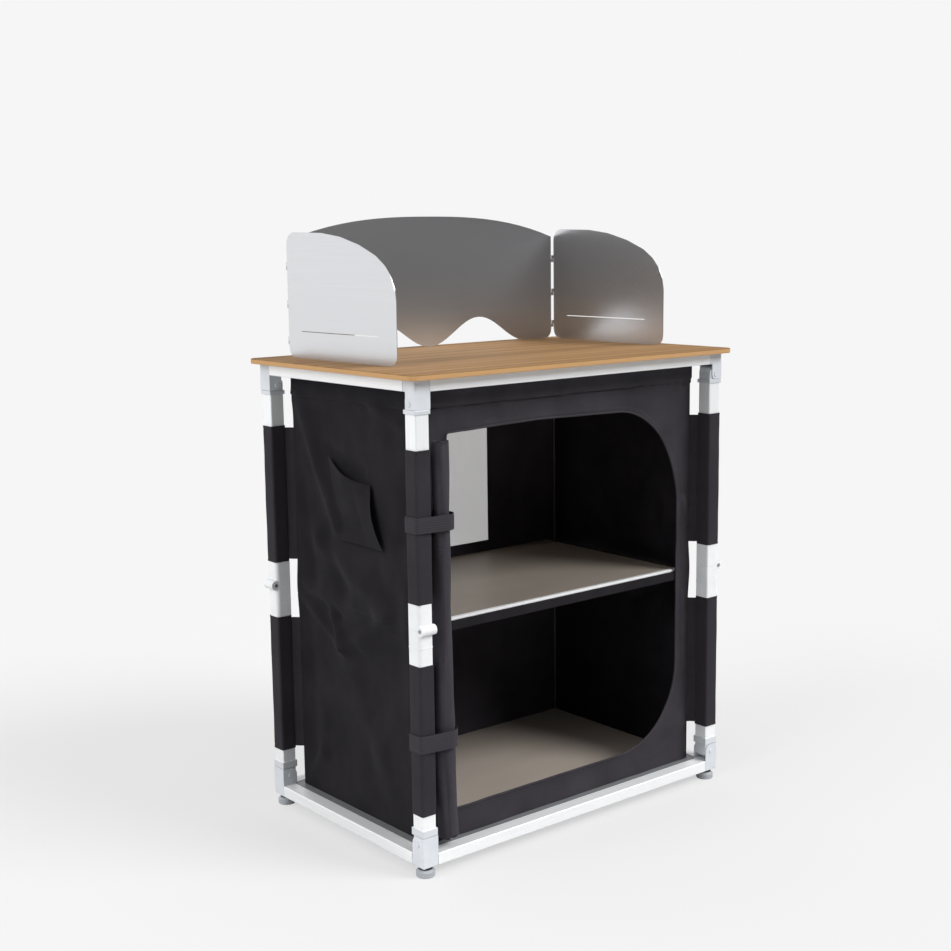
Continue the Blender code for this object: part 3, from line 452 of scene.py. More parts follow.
# Joins the vertices that lie on each other, where a loop closes.
def weld(piece):
    pick(piece)
    bpy.ops.object.mode_set(mode="EDIT")
    bpy.ops.mesh.select_all(action="SELECT")
    bpy.ops.mesh.remove_doubles(threshold=0.00002)
    bpy.ops.object.mode_set(mode="OBJECT")


def smooth(piece, degrees=50):
    pick(piece)
    bpy.ops.object.shade_smooth_by_angle(angle=math.radians(degrees))


# Colours a piece, sets what it moves with, and hides the CAD nodes it stands for.
def finishPiece(piece, body, material, slotName, *nodes):
    piece.data.materials.clear()
    piece.data.materials.append(material)
    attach(piece, body)
    if nodes:
        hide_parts(*nodes)


# Gives a cloth piece a mesh of its own.
def crumple(piece):
    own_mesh(piece)


# Cloth cut as a sheet: thickened to one side, smoothed and coloured.
def clothPiece(
    piece, body, finish, node, cloth, offset, slotName="black_cloth",
):
    applied(piece, "SOLIDIFY", thickness=cloth, offset=offset)
    smooth(piece)
    finishPiece(piece, body, finish, slotName, node)
    if body == "base":
        crumple(piece)


# 1 at the centre, fading to 0 on both sides.
def swell(value, centre, width):
    return math.exp(-((value - centre) / width) ** 2)


# Rows of start across and up, end across and up, width and height.
def foldLines(rows):
    return [(Vector(row[0:2]), Vector(row[2:4]), row[4], row[5]) for row in rows]


# Soft folds along lines: highest on the line, fading to its sides and ends.
def foldsAt(place, folds):
    total = 0
    for start, end, width, height in folds:
        line = end - start
        share = min(max((place - start).dot(line) / line.length_squared, 0), 1)
        total += height * swell((place - start - line * share).length, 0, width)
    return total


# The dent of a sewn seam.
def groove(value, seam, depth=0.0009):
    return -depth * swell(value, seam, seamWidth)


# A doubled edge: the cloth is thicker from its edge to its seam.
def hem(value, edge, width, height):
    return height * (0.5 - 0.5 * math.tanh((abs(value - edge) - width) / seamWidth))


# Smooth uneven waves from -1 to 1.
def ripple(across, up, seed, acrossSize, upSize):
    return noise.noise(Vector((across / acrossSize, up / upSize, seed)))


# 0 at both ends and 1 between, to hold the edges of a sheet still.
def tent(share):
    return min(1, 4 * share * (1 - share) * 1.6)


walls = {
    "outX": 0.3460,
    "frontY": -0.2054,
    "backY": 0.2050,
    "topZ": 0.8778,
    "cloth": 0.0012,
    "cell": 0.0085,
    "topSeam": 0.8385,
    "casing": 0.0028,
    "middleSeam": 0.4400,
    "seamDepth": 0.0007,
    "sag": 0.0045,
    "ripple": 0.0024,
    "foldScale": 2.7,
    "wave": (0.060, 0.160),
    "smallWave": (0.020, 0.045),
    "knee": 0.455,
    "kneeReach": 0.018,
    "kneeBulge": 0.0060,
    "lowWaveAt": 0.085,
    "lowWaveReach": 0.022,
    "lowWave": 0.0016,
    "shelf": 0.445,
    "besideShelf": 0.030,
    "aboveBase": 0.060,
    "drawnIn": 0.0080,
    "edgeWave": 0.0050,
    "edgeWaveFrom": 0.6,  # share of the way from the front edge to the back edge
    "edgeWaveTop": 0.832,
    "flat": (0.412, 0.836),
}
leftRows = (
    (0.190, 0.850, 0.060, 0.600, 0.020, 0.0050),
    (0.200, 0.800, 0.150, 0.480, 0.016, -0.0030),
    (0.120, 0.560, -0.080, 0.470, 0.026, 0.0045),
    (0.200, 0.445, 0.050, 0.360, 0.011, 0.0032),
    (0.090, 0.430, 0.042, 0.358, 0.009, 0.0030),
    (-0.110, 0.455, 0.030, 0.366, 0.013, 0.0032),
    (0.180, 0.400, 0.170, 0.120, 0.024, -0.0034),
    (0.050, 0.355, -0.060, 0.170, 0.030, 0.0022),
    (-0.160, 0.500, -0.180, 0.150, 0.018, 0.0024),
    (-0.190, 0.820, -0.150, 0.600, 0.018, -0.0030),
    (-0.060, 0.838, -0.190, 0.800, 0.010, 0.0025),
    (0.130, 0.130, 0.190, 0.052, 0.014, 0.0035),
    (0.078, 0.738, -0.020, 0.712, 0.010, -0.0050),
    (0.205, 0.800, 0.190, 0.560, 0.030, 0.0050),
    (0.160, 0.858, 0.060, 0.846, 0.006, 0.0022),
    (0.020, 0.862, -0.100, 0.852, 0.006, -0.0020),
    (0.190, 0.452, 0.060, 0.420, 0.008, -0.0024),
    (-0.010, 0.372, -0.170, 0.430, 0.010, 0.0026),
    (0.090, 0.560, 0.040, 0.470, 0.018, -0.0026),
)
leftFolds = foldLines(leftRows)
# The right wall has the left one's larger folds, mirrored, wider and lower.
rightFolds = foldLines([
    (-startY, startZ, -endY, endZ, width * 1.3, height * 0.7)
    for startY, startZ, endY, endZ, width, height in leftRows[:12]
])


# How far a side wall stands out of its plane.
def wallRelief(across, up, seed, folds):
    acrossShare = (across - walls["frontY"]) / (walls["backY"] - walls["frontY"])
    upShare = (up - clothFloor) / (walls["topZ"] - clothFloor)
    relief = -walls["sag"] * math.sin(math.pi * acrossShare) * abs(math.sin(2 * math.pi * upShare))
    relief += walls["ripple"] * ripple(across, up, seed, *walls["wave"])
    relief += walls["ripple"] * 0.4 * ripple(across, up, seed + 7, *walls["smallWave"])
    relief += walls["foldScale"] * foldsAt(Vector((across, up)), folds)
    relief += walls["kneeBulge"] * swell(up, walls["knee"], walls["kneeReach"])
    relief += walls["lowWave"] * swell(up, walls["lowWaveAt"], walls["lowWaveReach"]) * math.sin(across * 75 + seed)
    relief *= tent(acrossShare) * min(1, 12 * (1 - upShare))  # held at its sides and top
    relief *= min(1, 0.15 + (up - clothFloor) / 0.030)  # and nearly so at its foot
    clear = min(1, abs(up - walls["shelf"]) / walls["besideShelf"]) * min(1, (up - clothFloor) / walls["aboveBase"])
    relief = max(relief, -walls["drawnIn"] * clear - 0.0002)  # the boards keep the cloth out
    seamAt = walls["topSeam"] + 0.0012 * ripple(across, 0, seed + 5, 0.050, 1)
    relief += hem(up, walls["topZ"], walls["topZ"] - seamAt, walls["casing"]) + groove(up, seamAt, 0.0016)
    return relief + groove(up, walls["middleSeam"], walls["seamDepth"])


# The left wall's back edge bulges where no sleeve holds it: at the knee and near the top.
def edgeWave(across, up):
    acrossShare = (across - walls["frontY"]) / (walls["backY"] - walls["frontY"])
    share = max(0, acrossShare - walls["edgeWaveFrom"]) / (1 - walls["edgeWaveFrom"])
    bulge = swell(up, walls["knee"], 0.045) + 0.8 * swell(up, walls["edgeWaveTop"], 0.018)
    return share * share * walls["edgeWave"] * bulge


def leftPoint(across, up):
    out = wallRelief(across, up, 3.0, leftFolds)
    return Vector((-walls["outX"] - out, across + edgeWave(across, up), up))


def rightPoint(across, up):
    return Vector((walls["outX"] + wallRelief(across, up, 11.0, rightFolds), across, up))


acrossLines = steps(walls["frontY"], walls["backY"], walls["cell"])
upLines = steps(clothFloor, walls["topZ"], walls["cell"], (walls["topSeam"], walls["middleSeam"]))
for name, pointAt, inward in (("left_wall", leftPoint, 1), ("right_wall", rightPoint, -1)):
    piece = gridPiece(name, acrossLines, upLines, pointAt)
    clothPiece(piece, "base", wallCloth, "cloth_walls", walls["cloth"], inward)

backWall = {
    "halfX": 0.3454,
    "windowX": 0.148,
    "windowLow": 0.479,
    "windowHigh": 0.820,
    "border": 0.012,
    "borderHeight": 0.0009,
    "cell": 0.0095,
    "flat": (0.692, 0.836),
}
backFolds = foldLines((
    (0.330, 0.800, 0.210, 0.560, 0.018, 0.0085),
    (0.250, 0.790, 0.200, 0.500, 0.012, -0.0060),
    (0.170, 0.700, 0.165, 0.520, 0.006, 0.0022),
    (0.320, 0.420, 0.050, 0.250, 0.026, 0.0080),
    (-0.300, 0.800, -0.220, 0.560, 0.020, 0.0040),
    (-0.200, 0.400, 0.000, 0.150, 0.028, 0.0035),
))
windowX, windowLow, windowHigh = backWall["windowX"], backWall["windowLow"], backWall["windowHigh"]


# A point of the back wall, which stands out of its plane and lies flat about its window.
def backPoint(across, up):
    acrossShare = (across + backWall["halfX"]) / (2 * backWall["halfX"])
    upShare = (up - clothFloor) / (walls["topZ"] - clothFloor)
    relief = walls["ripple"] * 1.3 * ripple(across, up, 21.0, 0.050, 0.180)
    relief += foldsAt(Vector((across, up)), backFolds)
    aboutWindow = max(abs(across) - windowX, windowLow - up, up - windowHigh, 0)
    relief *= tent(acrossShare) * min(1, 12 * (1 - upShare)) * min(1, aboutWindow / 0.030)
    relief = max(relief, -0.0002)
    relief += hem(up, walls["topZ"], walls["topZ"] - walls["topSeam"], walls["seamDepth"])
    if aboutWindow > 0:
        relief += hem(aboutWindow, 0, backWall["border"], backWall["borderHeight"])
    else:
        relief += backWall["borderHeight"]
    relief += groove(up, walls["topSeam"]) + groove(up, walls["middleSeam"], walls["seamDepth"])
    return Vector((across, walls["backY"] + relief, up))


acrossBack = (
    steps(-backWall["halfX"], -windowX, backWall["cell"])
    + steps(-windowX, windowX, backWall["cell"])[1:]
    + steps(windowX, backWall["halfX"], backWall["cell"])[1:]
)
upBack = (
    steps(clothFloor, windowLow, backWall["cell"], (walls["middleSeam"],))
    + steps(windowLow, windowHigh, backWall["cell"])[1:]
    + steps(windowHigh, walls["topZ"], backWall["cell"], (walls["topSeam"],))[1:]
)
backPiece = gridPiece("back_wall", acrossBack, upBack, backPoint)
pick(backPiece)
bpy.ops.object.mode_set(mode="EDIT")
bpy.ops.mesh.select_all(action="DESELECT")
bpy.ops.object.mode_set(mode="OBJECT")
for face in backPiece.data.polygons:
    face.select = abs(face.center.x) < windowX and windowLow < face.center.z < windowHigh
bpy.ops.object.mode_set(mode="EDIT")
bpy.ops.mesh.select_mode(type="FACE")
bpy.ops.mesh.delete(type="FACE")
bpy.ops.object.mode_set(mode="OBJECT")
clothPiece(backPiece, "base", panelClothPaintedLight, "cloth_walls", walls["cloth"], 1)

window = {
    "lap": 0.001,
    "cloth": 0.0006,
    "cellAcross": 0.0070,
    "cellUp": 0.0140,
    "wave": 0.0045,
    "waveSize": (0.030, 0.300),
    "proud": 0.0006,
    "flat": (0.298, 0.343),
}


# A point of the mesh, which hangs in slack upright waves.
def meshPoint(across, up):
    held = tent((up - 0.470) / 0.36) * tent((across + windowX) / (2 * windowX))
    wave = window["wave"] * ripple(across + 0.25 * up, up, 5.0, *window["waveSize"]) * held
    return Vector((across, walls["backY"] + window["proud"] + wave, up))


meshAcross = steps(-windowX - window["lap"], windowX + window["lap"], window["cellAcross"])
meshUp = steps(windowLow - window["lap"], windowHigh + window["lap"], window["cellUp"])
meshSheet = gridPiece("mesh_sheet", meshAcross, meshUp, meshPoint)
clothPiece(meshSheet, "base", flyMesh, "mesh_window", window["cloth"], 0, slotName="grey_mesh")
print("stage: cloth walls and mesh")


panel = {
    "halfX": 0.3453,
    "left": -0.2900,
    "right": 0.3080,
    "low": 0.0950,
    "highLeft": 0.7970,
    "highRight": 0.7980,
    "topBow": ((-0.080, 0.8030), (-0.200, 0.8000)),
    "smallCorner": 0.0060,
    "topReach": 0.1700,
    "topDrop": 0.2050,
    "lowReach": 0.1630,
    "lowRise": 0.1700,
    "middle": (0.009, 0.450),
    "casingFrom": 0.8440,
    "casing": 0.0056,
    "seamWave": 0.0030,
    "seamDent": 0.0022,
    "pucker": 0.0024,
    "band": 0.0095,
    "bandHeight": 0.0011,
    "ripple": 0.0016,
    "flare": 0.0030,
    "flareBelow": 0.066,
    "sideBulge": 0.0048,
    "bulgeFrom": 0.318,
    "bulgeAt": 0.452,
    "bulgeReach": 0.045,
    "cell": 0.0090,
    "rows": 28,
    "foldScale": 1.8,
    "flat": (0.692, 0.836),
}
panelFolds = foldLines((
    (0.327, 0.600, 0.345, 0.570, 0.008, 0.0034),
    (0.328, 0.570, 0.345, 0.548, 0.007, -0.0026),
    (0.328, 0.400, 0.336, 0.250, 0.009, 0.0020),
    (-0.240, 0.800, 0.200, 0.818, 0.010, 0.0014),
    (0.200, 0.070, 0.330, 0.130, 0.020, 0.0030),
))
halfX = panel["halfX"]


# A quarter of an ellipse, from turn quarter turns on.
def quarter(centreX, centreZ, reachX, reachZ, turn, count):
    angles = [(turn + index / count) * math.pi / 2 for index in range(count + 1)]
    return [Vector((centreX + reachX * math.cos(angle), centreZ + reachZ * math.sin(angle))) for angle in angles]


corner = panel["smallCorner"]
lowReach, lowRise = panel["lowReach"], panel["lowRise"]
topReach, topDrop = panel["topReach"], panel["topDrop"]
opening = (
    quarter(panel["left"] + corner, panel["low"] + corner, corner, corner, 2, 5)
    + quarter(panel["right"] - lowReach, panel["low"] + lowRise, lowReach, lowRise, 3, 24)
    + quarter(panel["right"] - topReach, panel["highRight"] - topDrop, topReach, topDrop, 0, 24)
    + [Vector(point) for point in panel["topBow"]]
    + quarter(panel["left"] + corner, panel["highLeft"] - corner, corner, corner, 1, 5)
)
middle = Vector(panel["middle"])


# How far along the line from the middle to the target the opening's edge lies.
def edgeShare(target):
    ray = target - middle
    for first, second in zip(opening, opening[1:] + opening[:1]):
        side = second - first
        cross = ray.x * side.y - ray.y * side.x
        if abs(cross) < 1e-12:
            continue
        gap = first - middle
        share = (gap.x * side.y - gap.y * side.x) / cross
        along = (gap.x * ray.y - gap.y * ray.x) / cross
        if share > 0 and -1e-6 <= along <= 1 + 1e-6:
            return share
    return 0.9


levelLines = steps(-halfX, halfX, panel["cell"])
uprightLines = steps(clothFloor, walls["topZ"], panel["cell"])
sides = (
    [(x, clothFloor) for x in levelLines[:-1]]
    + [(halfX, z) for z in uprightLines[:-1]]
    + [(x, walls["topZ"]) for x in levelLines[:0:-1]]
    + [(-halfX, z) for z in reversed(uprightLines)]
)
rim = [Vector(point) for point in sides]
edge = [middle + (point - middle) * edgeShare(point) for point in rim]
bandLines = [0, 0.0008, 0.0020, 0.0050, 0.0085, 0.0095, 0.0105, 0.0125]
restLines = [index / panel["rows"] for index in range(1, panel["rows"] + 1)]


# How far the front panel stands out in front of its plane.
def frontRelief(x, z):
    free = max(min(1, (halfX - abs(x)) / 0.018), 0)
    relief = panel["ripple"] * ripple(x, z, 31.0, 0.070, 0.090) + foldsAt(Vector((x, z)), panelFolds)
    relief = max(relief * free * panel["foldScale"], -0.0003)
    below = max(0, (panel["flareBelow"] - z) / (panel["flareBelow"] - clothFloor))
    return relief + panel["flare"] * below ** 1.4 * free


# A point of the panel: index goes round the opening, line outward from its edge.
def frontPoint(index, line):
    start, ray = edge[index], rim[index] - edge[index]
    unit = ray.normalized()
    if line < len(bandLines):
        away = bandLines[line]
    else:
        away = bandLines[-1] + (ray.length - bandLines[-1]) * restLines[line - len(bandLines)]
    x, z = start + unit * away
    slant = max(abs(unit.x), abs(unit.y))
    relief = frontRelief(x, z) + hem(away * slant, 0, panel["band"] * slant, panel["bandHeight"])
    seamWave = ripple(x, 0, 35.0, 0.045, 1)
    seamAt = panel["casingFrom"] + panel["seamWave"] * seamWave
    relief += hem(z, walls["topZ"], walls["topZ"] - seamAt, panel["casing"])
    relief += groove(z, seamAt - 0.0020, panel["seamDent"])
    relief += panel["pucker"] * swell(z, seamAt - 0.010, 0.008) * seamWave
    nearSide = max(0, (abs(x) - panel["bulgeFrom"]) / (halfX - panel["bulgeFrom"]))
    bulge = panel["sideBulge"] * nearSide * nearSide * swell(z, panel["bulgeAt"], panel["bulgeReach"])
    return Vector((x + math.copysign(bulge, x), walls["frontY"] - relief, z))


panelLines = list(range(len(bandLines) + len(restLines)))
frontPanel = gridPiece("front_panel_cloth", list(range(len(rim))), panelLines, frontPoint)
weld(frontPanel)
clothPiece(frontPanel, "base", panelClothPaintedLight, "front_panel", walls["cloth"], 1)


# A round sewn edge through the points, as a mesh.
def pipingAlong(name, points, radius, closed, sides):
    count = len(points)

    def ringPoint(around, station):
        index = station % count
        before = points[index - 1] if closed or index else points[index]
        after = points[(index + 1) % count] if closed or index + 1 < count else points[index]
        forward = (after - before).normalized()
        side = forward.cross(Vector((0, 1, 0)) if abs(forward.y) < 0.9 else Vector((1, 0, 0))).normalized()
        angle = math.tau * around / sides
        return points[index] + side * math.cos(angle) * radius + forward.cross(side) * math.sin(angle) * radius

    piece = gridPiece(name, list(range(sides + 1)), list(range(count + closed)), ringPoint)
    weld(piece)
    smooth(piece, 80)
    return piece


piping = {"radius": 0.0021, "proud": 0.0016, "cornerX": 0.3430, "cornerY": 0.2022, "cornerRadius": 0.0017}
edgeLoop = [
    Vector((point.x, walls["frontY"] - piping["proud"] - frontRelief(point.x, point.y), point.y))
    for point in edge[:-1]
]
openingPiping = pipingAlong("opening_piping", edgeLoop, piping["radius"], True, 10)
finishPiece(openingPiping, "base", doorClothPaintedLight, "black_cloth", "front_panel")
crumple(openingPiping)
for sign, name in ((-1, "left"), (1, "right")):
    heights = steps(clothFloor + 0.006, walls["topZ"], 0.020)
    seamLine = [Vector((sign * piping["cornerX"], piping["cornerY"], height)) for height in heights]
    cornerPiping = pipingAlong("corner_piping_" + name, seamLine, piping["cornerRadius"], False, 8)
    finishPiece(cornerPiping, "base", paleBinding, "black_cloth", "cloth_walls")
    crumple(cornerPiping)
print("stage: front panel")


posts = {"x": 0.373, "y": 0.233}
cornerSigns = {"front_left": (-1, -1), "front_right": (1, -1), "back_right": (1, 1), "back_left": (-1, 1)}
sleeve = {
    "half": 0.0165,
    "corner": 0.0042,
    "cloth": 0.0012,
    "lower": (0.1180, 0.3947),
    "upper": (0.5063, 0.7780),
    "hem": 0.0060,
    "hemHeight": 0.0004,
    "seamDepth": 0.0005,
    "bulge": 0.0006,
    "cell": 0.0110,
    "round": 0.128,
}
sleeveHalves = (("lower", *sleeve["lower"], 41.0), ("upper", *sleeve["upper"], 47.0))


# The outline of a square with round corners.
def roundedSquare(half, radius, count):
    loop = []
    turnSigns = ((1, 1), (-1, 1), (-1, -1), (1, -1))
    for turn, signs in enumerate(turnSigns):
        centre = Vector(signs) * (half - radius)
        angles = [(turn + index / count) * math.pi / 2 for index in range(count + 1)]
        loop += [centre + Vector((math.cos(angle), math.sin(angle))) * radius for angle in angles]
        nextCentre = Vector(turnSigns[(turn + 1) % 4]) * (half - radius)
        target = nextCentre + Vector((math.cos(angles[-1]), math.sin(angles[-1]))) * radius
        last = loop[-1].copy()
        loop += [last.lerp(target, share / 4) for share in (1, 2, 3)]
    return loop


sleeveOutline = roundedSquare(sleeve["half"], sleeve["corner"], 4)


# A tube of cloth round a post, centred on the Z axis.
def makeSleeve(low, high, seed):
    lowSeam, highSeam = low + sleeve["hem"], high - sleeve["hem"]
    nearSeams = [seam + shift for seam in (lowSeam, highSeam) for shift in seamLines[1:3]]

    def sleevePoint(around, up):
        point = sleeveOutline[around % len(sleeveOutline)]
        out = point.normalized()
        push = sleeve["bulge"] * ripple(point.x * 4, up, seed + out.y, 0.05, 0.05)
        for end, seam in ((low, lowSeam), (high, highSeam)):
            push += hem(up, end, sleeve["hem"], sleeve["hemHeight"]) + groove(up, seam, sleeve["seamDepth"])
        return Vector((*(point + out * push), up))

    heights = sorted(steps(low, high, sleeve["cell"]) + nearSeams)
    piece = gridPiece("sleeve_model", list(range(len(sleeveOutline) + 1)), heights, sleevePoint)
    weld(piece)
    applied(piece, "SOLIDIFY", thickness=sleeve["cloth"], offset=-1)
    smooth(piece)
    return piece


for half, low, high, seed in sleeveHalves:
    model = makeSleeve(low, high, seed)
    for turns, (name, (signX, signY)) in enumerate(cornerSigns.items()):
        pick(model)
        bpy.ops.object.duplicate()
        copy = bpy.context.object
        copy.name = "sleeve_cloth_" + half + "_" + name
        place = Matrix.Translation((signX * posts["x"], signY * posts["y"], 0))
        copy.data.transform(place @ Matrix.Rotation(turns * math.pi / 2, 4, "Z"))
        finishPiece(copy, half + "_" + name, sleeveClothPaintedLight, "black_cloth", "sleeve_" + half + "_" + name)
    bpy.data.objects.remove(model, do_unlink=True)

# The webs tie the cloth box to the sleeves.
web = {
    "boxX": 0.3452,
    "boxY": 0.2048,
    "sleeveX": 0.3587,
    "sleeveY": 0.2187,
    "slack": 0.0016,
    "short": 0.004,
    "cell": 0.0120,
    "cloth": 0.0010,
    "width": 0.0165,
}
for half, low, high, seed in sleeveHalves:
    for name, (signX, signY) in cornerSigns.items():
        def webPoint(share, up, signX=signX, signY=signY):
            slack = web["slack"] * math.sin(math.pi * share) * ripple(share, up, 60.0 + signX, 1.0, 0.060)
            x = web["boxX"] + (web["sleeveX"] - web["boxX"]) * share + slack
            y = web["boxY"] + (web["sleeveY"] - web["boxY"]) * share - slack
            return Vector((signX * x, signY * y, up))

        heights = steps(low + web["short"], high - web["short"], web["cell"])
        strip = gridPiece("corner_web_" + half + "_" + name, [0, 0.25, 0.5, 0.75, 1], heights, webPoint)
        clothPiece(strip, "base", sleeveClothPaintedLight, "cloth_walls", web["cloth"], 0)
print("stage: sleeves and webs")


pocket = {
    "backTop": (0.082, 0.733),
    "frontTop": (-0.052, 0.690),
    "frontLow": (-0.091, 0.573),
    "backLow": (0.055, 0.573),
    "droop": 0.010,
    "cloth": 0.0011,
    "proud": 0.0014,
    "bulge": 0.0100,
    "flare": 0.0120,
    "flareFrom": 0.62,
    "height": 0.13,
    "topHem": 0.012,
    "flat": (0.150, 0.165),
}


# A point of the pocket: across from its back edge to its front edge, up from its foot to its mouth.
def pocketPoint(across, up):
    low = Vector(pocket["backLow"]).lerp(Vector(pocket["frontLow"]), across)
    high = Vector(pocket["backTop"]).lerp(Vector(pocket["frontTop"]), across)
    place = low.lerp(high, up)
    place.y -= pocket["droop"] * math.sin(math.pi * across) * up ** 3
    wall = wallRelief(place.x, place.y, 3.0, leftFolds)
    bulge = math.sin(math.pi * across) ** 1.2 * math.sin(math.pi / 2 * up) ** 1.4
    flare = max(0, across - pocket["flareFrom"]) / (1 - pocket["flareFrom"])
    flare *= math.sin(math.pi * min(up + 0.04, 1)) ** 0.8
    out = pocket["proud"] + pocket["bulge"] * bulge + pocket["flare"] * flare
    out += 0.0016 * ripple(across * 0.15, up * 0.15, 71.0, 0.035, 0.05) * up
    belowMouth = (1 - up) * pocket["height"]
    out += hem(belowMouth, 0, pocket["topHem"], 0.0008) - 0.0006 * swell(belowMouth, pocket["topHem"], 0.001)
    return Vector((-walls["outX"] - max(wall, -0.0002) - out, place.x, place.y))


pocketUp = sorted([index / 24 for index in range(25)] + [0.900, 0.914])
pocketPiece = gridPiece("pocket_cloth", [index / 26 for index in range(27)], pocketUp, pocketPoint)
clothPiece(pocketPiece, "base", wallCloth, "side_pocket", pocket["cloth"], 0)


roll = {
    "x": -0.3265,
    "y": -0.2350,
    "low": 0.0605,
    "high": 0.7890,
    "lowRadius": 0.0225,
    "highRadius": 0.0195,
    "cloth": 0.0009,
    "turns": 7,
    "perTurn": 22,
    "cell": 0.0160,
    "core": 0.16,
    "lump": 0.0018,
    "crease": 0.0013,
    "creases": ((0.4, 7, 1.0), (-1.1, 5, 0.7), (2.3, 6, 0.9), (-2.0, 9, 0.8)),
    "sway": 0.0010,
    "swing": 0.0080,
    "swingFrom": 0.2300,
    "raggedEnd": 0.0070,
    "flat": (0.610, 0.729),
}


def rollRadius(z):
    share = (z - roll["low"]) / (roll["high"] - roll["low"])
    return roll["lowRadius"] + (roll["highRadius"] - roll["lowRadius"]) * min(max(share, 0), 1) ** 0.8


# How far the roll leans to the right: it swings out below the lower strap.
def rollSway(z):
    below = max(0, (roll["swingFrom"] - z) / (roll["swingFrom"] - roll["low"]))
    return roll["sway"] * math.sin(z * 11 + 0.6) + roll["swing"] * below ** 1.4


# A point of the rolled cloth: turn goes from its inner edge at 0 to its outer edge.
def rollPoint(turn, z):
    angle = turn * math.tau - 2.2
    share = roll["core"] + (1 - roll["core"]) * turn / roll["turns"]
    lumps = math.sin(2 * angle + z * 9) + 0.8 * math.sin(3 * angle - z * 14 + 1.3)
    lumps += 0.5 * math.sin(5 * angle + z * 23) - 1.3
    radius = (rollRadius(z) + roll["lump"] * lumps) * share
    for place, bend, size in roll["creases"]:
        off = math.remainder(angle - place - 0.35 * math.sin(z * bend + place), math.tau)
        radius -= roll["crease"] * size * share * swell(off, 0, 0.13)
    nearEnd = math.exp(-min(abs(z - roll["high"]), abs(z - roll["low"])) / 0.010)
    lift = roll["raggedEnd"] * math.sin(angle * 1.7 + turn) * nearEnd
    lift = min(lift, 0) if z > 0.5 else max(-lift, 0)
    x = roll["x"] + rollSway(z) + radius * math.cos(angle)
    return Vector((x, roll["y"] + radius * math.sin(angle), z + lift))


turnLines = [index / roll["perTurn"] for index in range(roll["turns"] * roll["perTurn"] + 1)]
doorPiece = gridPiece("rolled_door_cloth", turnLines, steps(roll["low"], roll["high"], roll["cell"]), rollPoint)
clothPiece(doorPiece, "base", doorClothPaintedLight, "door_roll", roll["cloth"], -1)

strap = {
    "spans": (("lower", 0.2360, 0.2680), ("upper", 0.6330, 0.6610)),
    "cloth": 0.0014,
    "clear": 0.0002,
    "clearOfSleeve": 0.0011,
    "thin": 0.0004,
    "cellRound": 0.0045,
    "cellUp": 0.0040,
}


# The outline of a band pulled round the points, anticlockwise.
def hullLoop(points):
    ordered = sorted(points, key=lambda point: (point.x, point.y))
    halves = []
    for run in (ordered, list(reversed(ordered))):
        chain = []
        for point in run:
            while len(chain) > 1 and (chain[-1] - chain[-2]).cross(point - chain[-2]) <= 0:
                chain.pop()
            chain.append(point)
        halves += chain[:-1]
    return halves


# The same closed line with points about size apart.
def evenLoop(points, size):
    loop = []
    for first, second in zip(points, points[1:] + points[:1]):
        count = max(1, round((second - first).length / size))
        loop += [first.lerp(second, index / count) for index in range(count)]
    return loop


for name, low, high in strap["spans"]:
    postCentre = Vector((-posts["x"], -posts["y"]))
    grow = (sleeve["half"] + strap["clearOfSleeve"]) / sleeve["half"]
    postPoints = [postCentre + point * grow for point in sleeveOutline]
    reach = rollRadius((low + high) / 2) + roll["lump"] + strap["clear"]
    rollCentre = Vector((roll["x"] + rollSway((low + high) / 2), roll["y"]))
    angles = [math.tau * index / 28 for index in range(28)]
    rollPoints = [rollCentre + Vector((math.cos(angle), math.sin(angle))) * reach for angle in angles]
    loop = evenLoop(hullLoop(postPoints + rollPoints), strap["cellRound"])
    centre = sum(loop, Vector((0, 0))) / len(loop)

    def strapPoint(around, up, loop=loop, low=low, high=high, centre=centre):
        place = loop[around % len(loop)]
        thin = abs(2 * (up - low) / (high - low) - 1) ** 6
        push = strap["thin"] * (ripple(place.x, up, 81.0, 0.02, 0.02) - thin)
        return Vector((*(place + (place - centre).normalized() * push), up))

    band = gridPiece("strap_band_" + name, list(range(len(loop) + 1)), steps(low, high, strap["cellUp"]), strapPoint)
    weld(band)
    clothPiece(band, "base", webbing, "roll_strap_" + name, strap["cloth"], 1)
print("stage: pocket, door and straps")


slingLow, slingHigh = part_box("shelf_sling")
shelfLow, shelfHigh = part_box("shelf_board")
sling = {
    "cloth": 0.0016,
    "sag": 0.0016,
    "sagFrom": 0.06,
    "back": 0.0022,
    "under": 0.0004,
    "sway": 0.0010,
    "cellAcross": 0.0140,
    "cellDeep": 0.0160,
}
slingWidth, slingDepth = slingHigh.x - slingLow.x, slingHigh.y - slingLow.y
slingTop = shelfLow.z - sling["under"]
bandDrop = slingTop - slingLow.z


# The sheet under the shelf: negative places run down its front band.
def slingPoint(x, place):
    if place < 0:
        sway = sling["sway"] * ripple(x, -place, 91.0, 0.050, 0.02) * -place / (slingHigh.z - slingLow.z)
        return Vector((x, slingLow.y + sling["back"] + sway, slingTop + place))
    sagged = sling["sag"] * (1 - (2 * (x - slingLow.x) / slingWidth - 1) ** 2)
    return Vector((x, slingLow.y + sling["back"] + place, slingTop - sagged * min(1, place / sling["sagFrom"]) * 0.4))


bandRows = [-bandDrop, -bandDrop + 0.0030, -bandDrop + 0.0040, -bandDrop * 0.4, -0.0015, 0, 0.0015]
slingRows = bandRows + steps(0.010, slingDepth - sling["back"], sling["cellDeep"])
slingAcross = steps(slingLow.x, slingHigh.x, sling["cellAcross"])
slingPiece = gridPiece("sling_cloth", slingAcross, slingRows, slingPoint)
clothPiece(slingPiece, "shelf", wallCloth, "shelf_sling", sling["cloth"], 1)

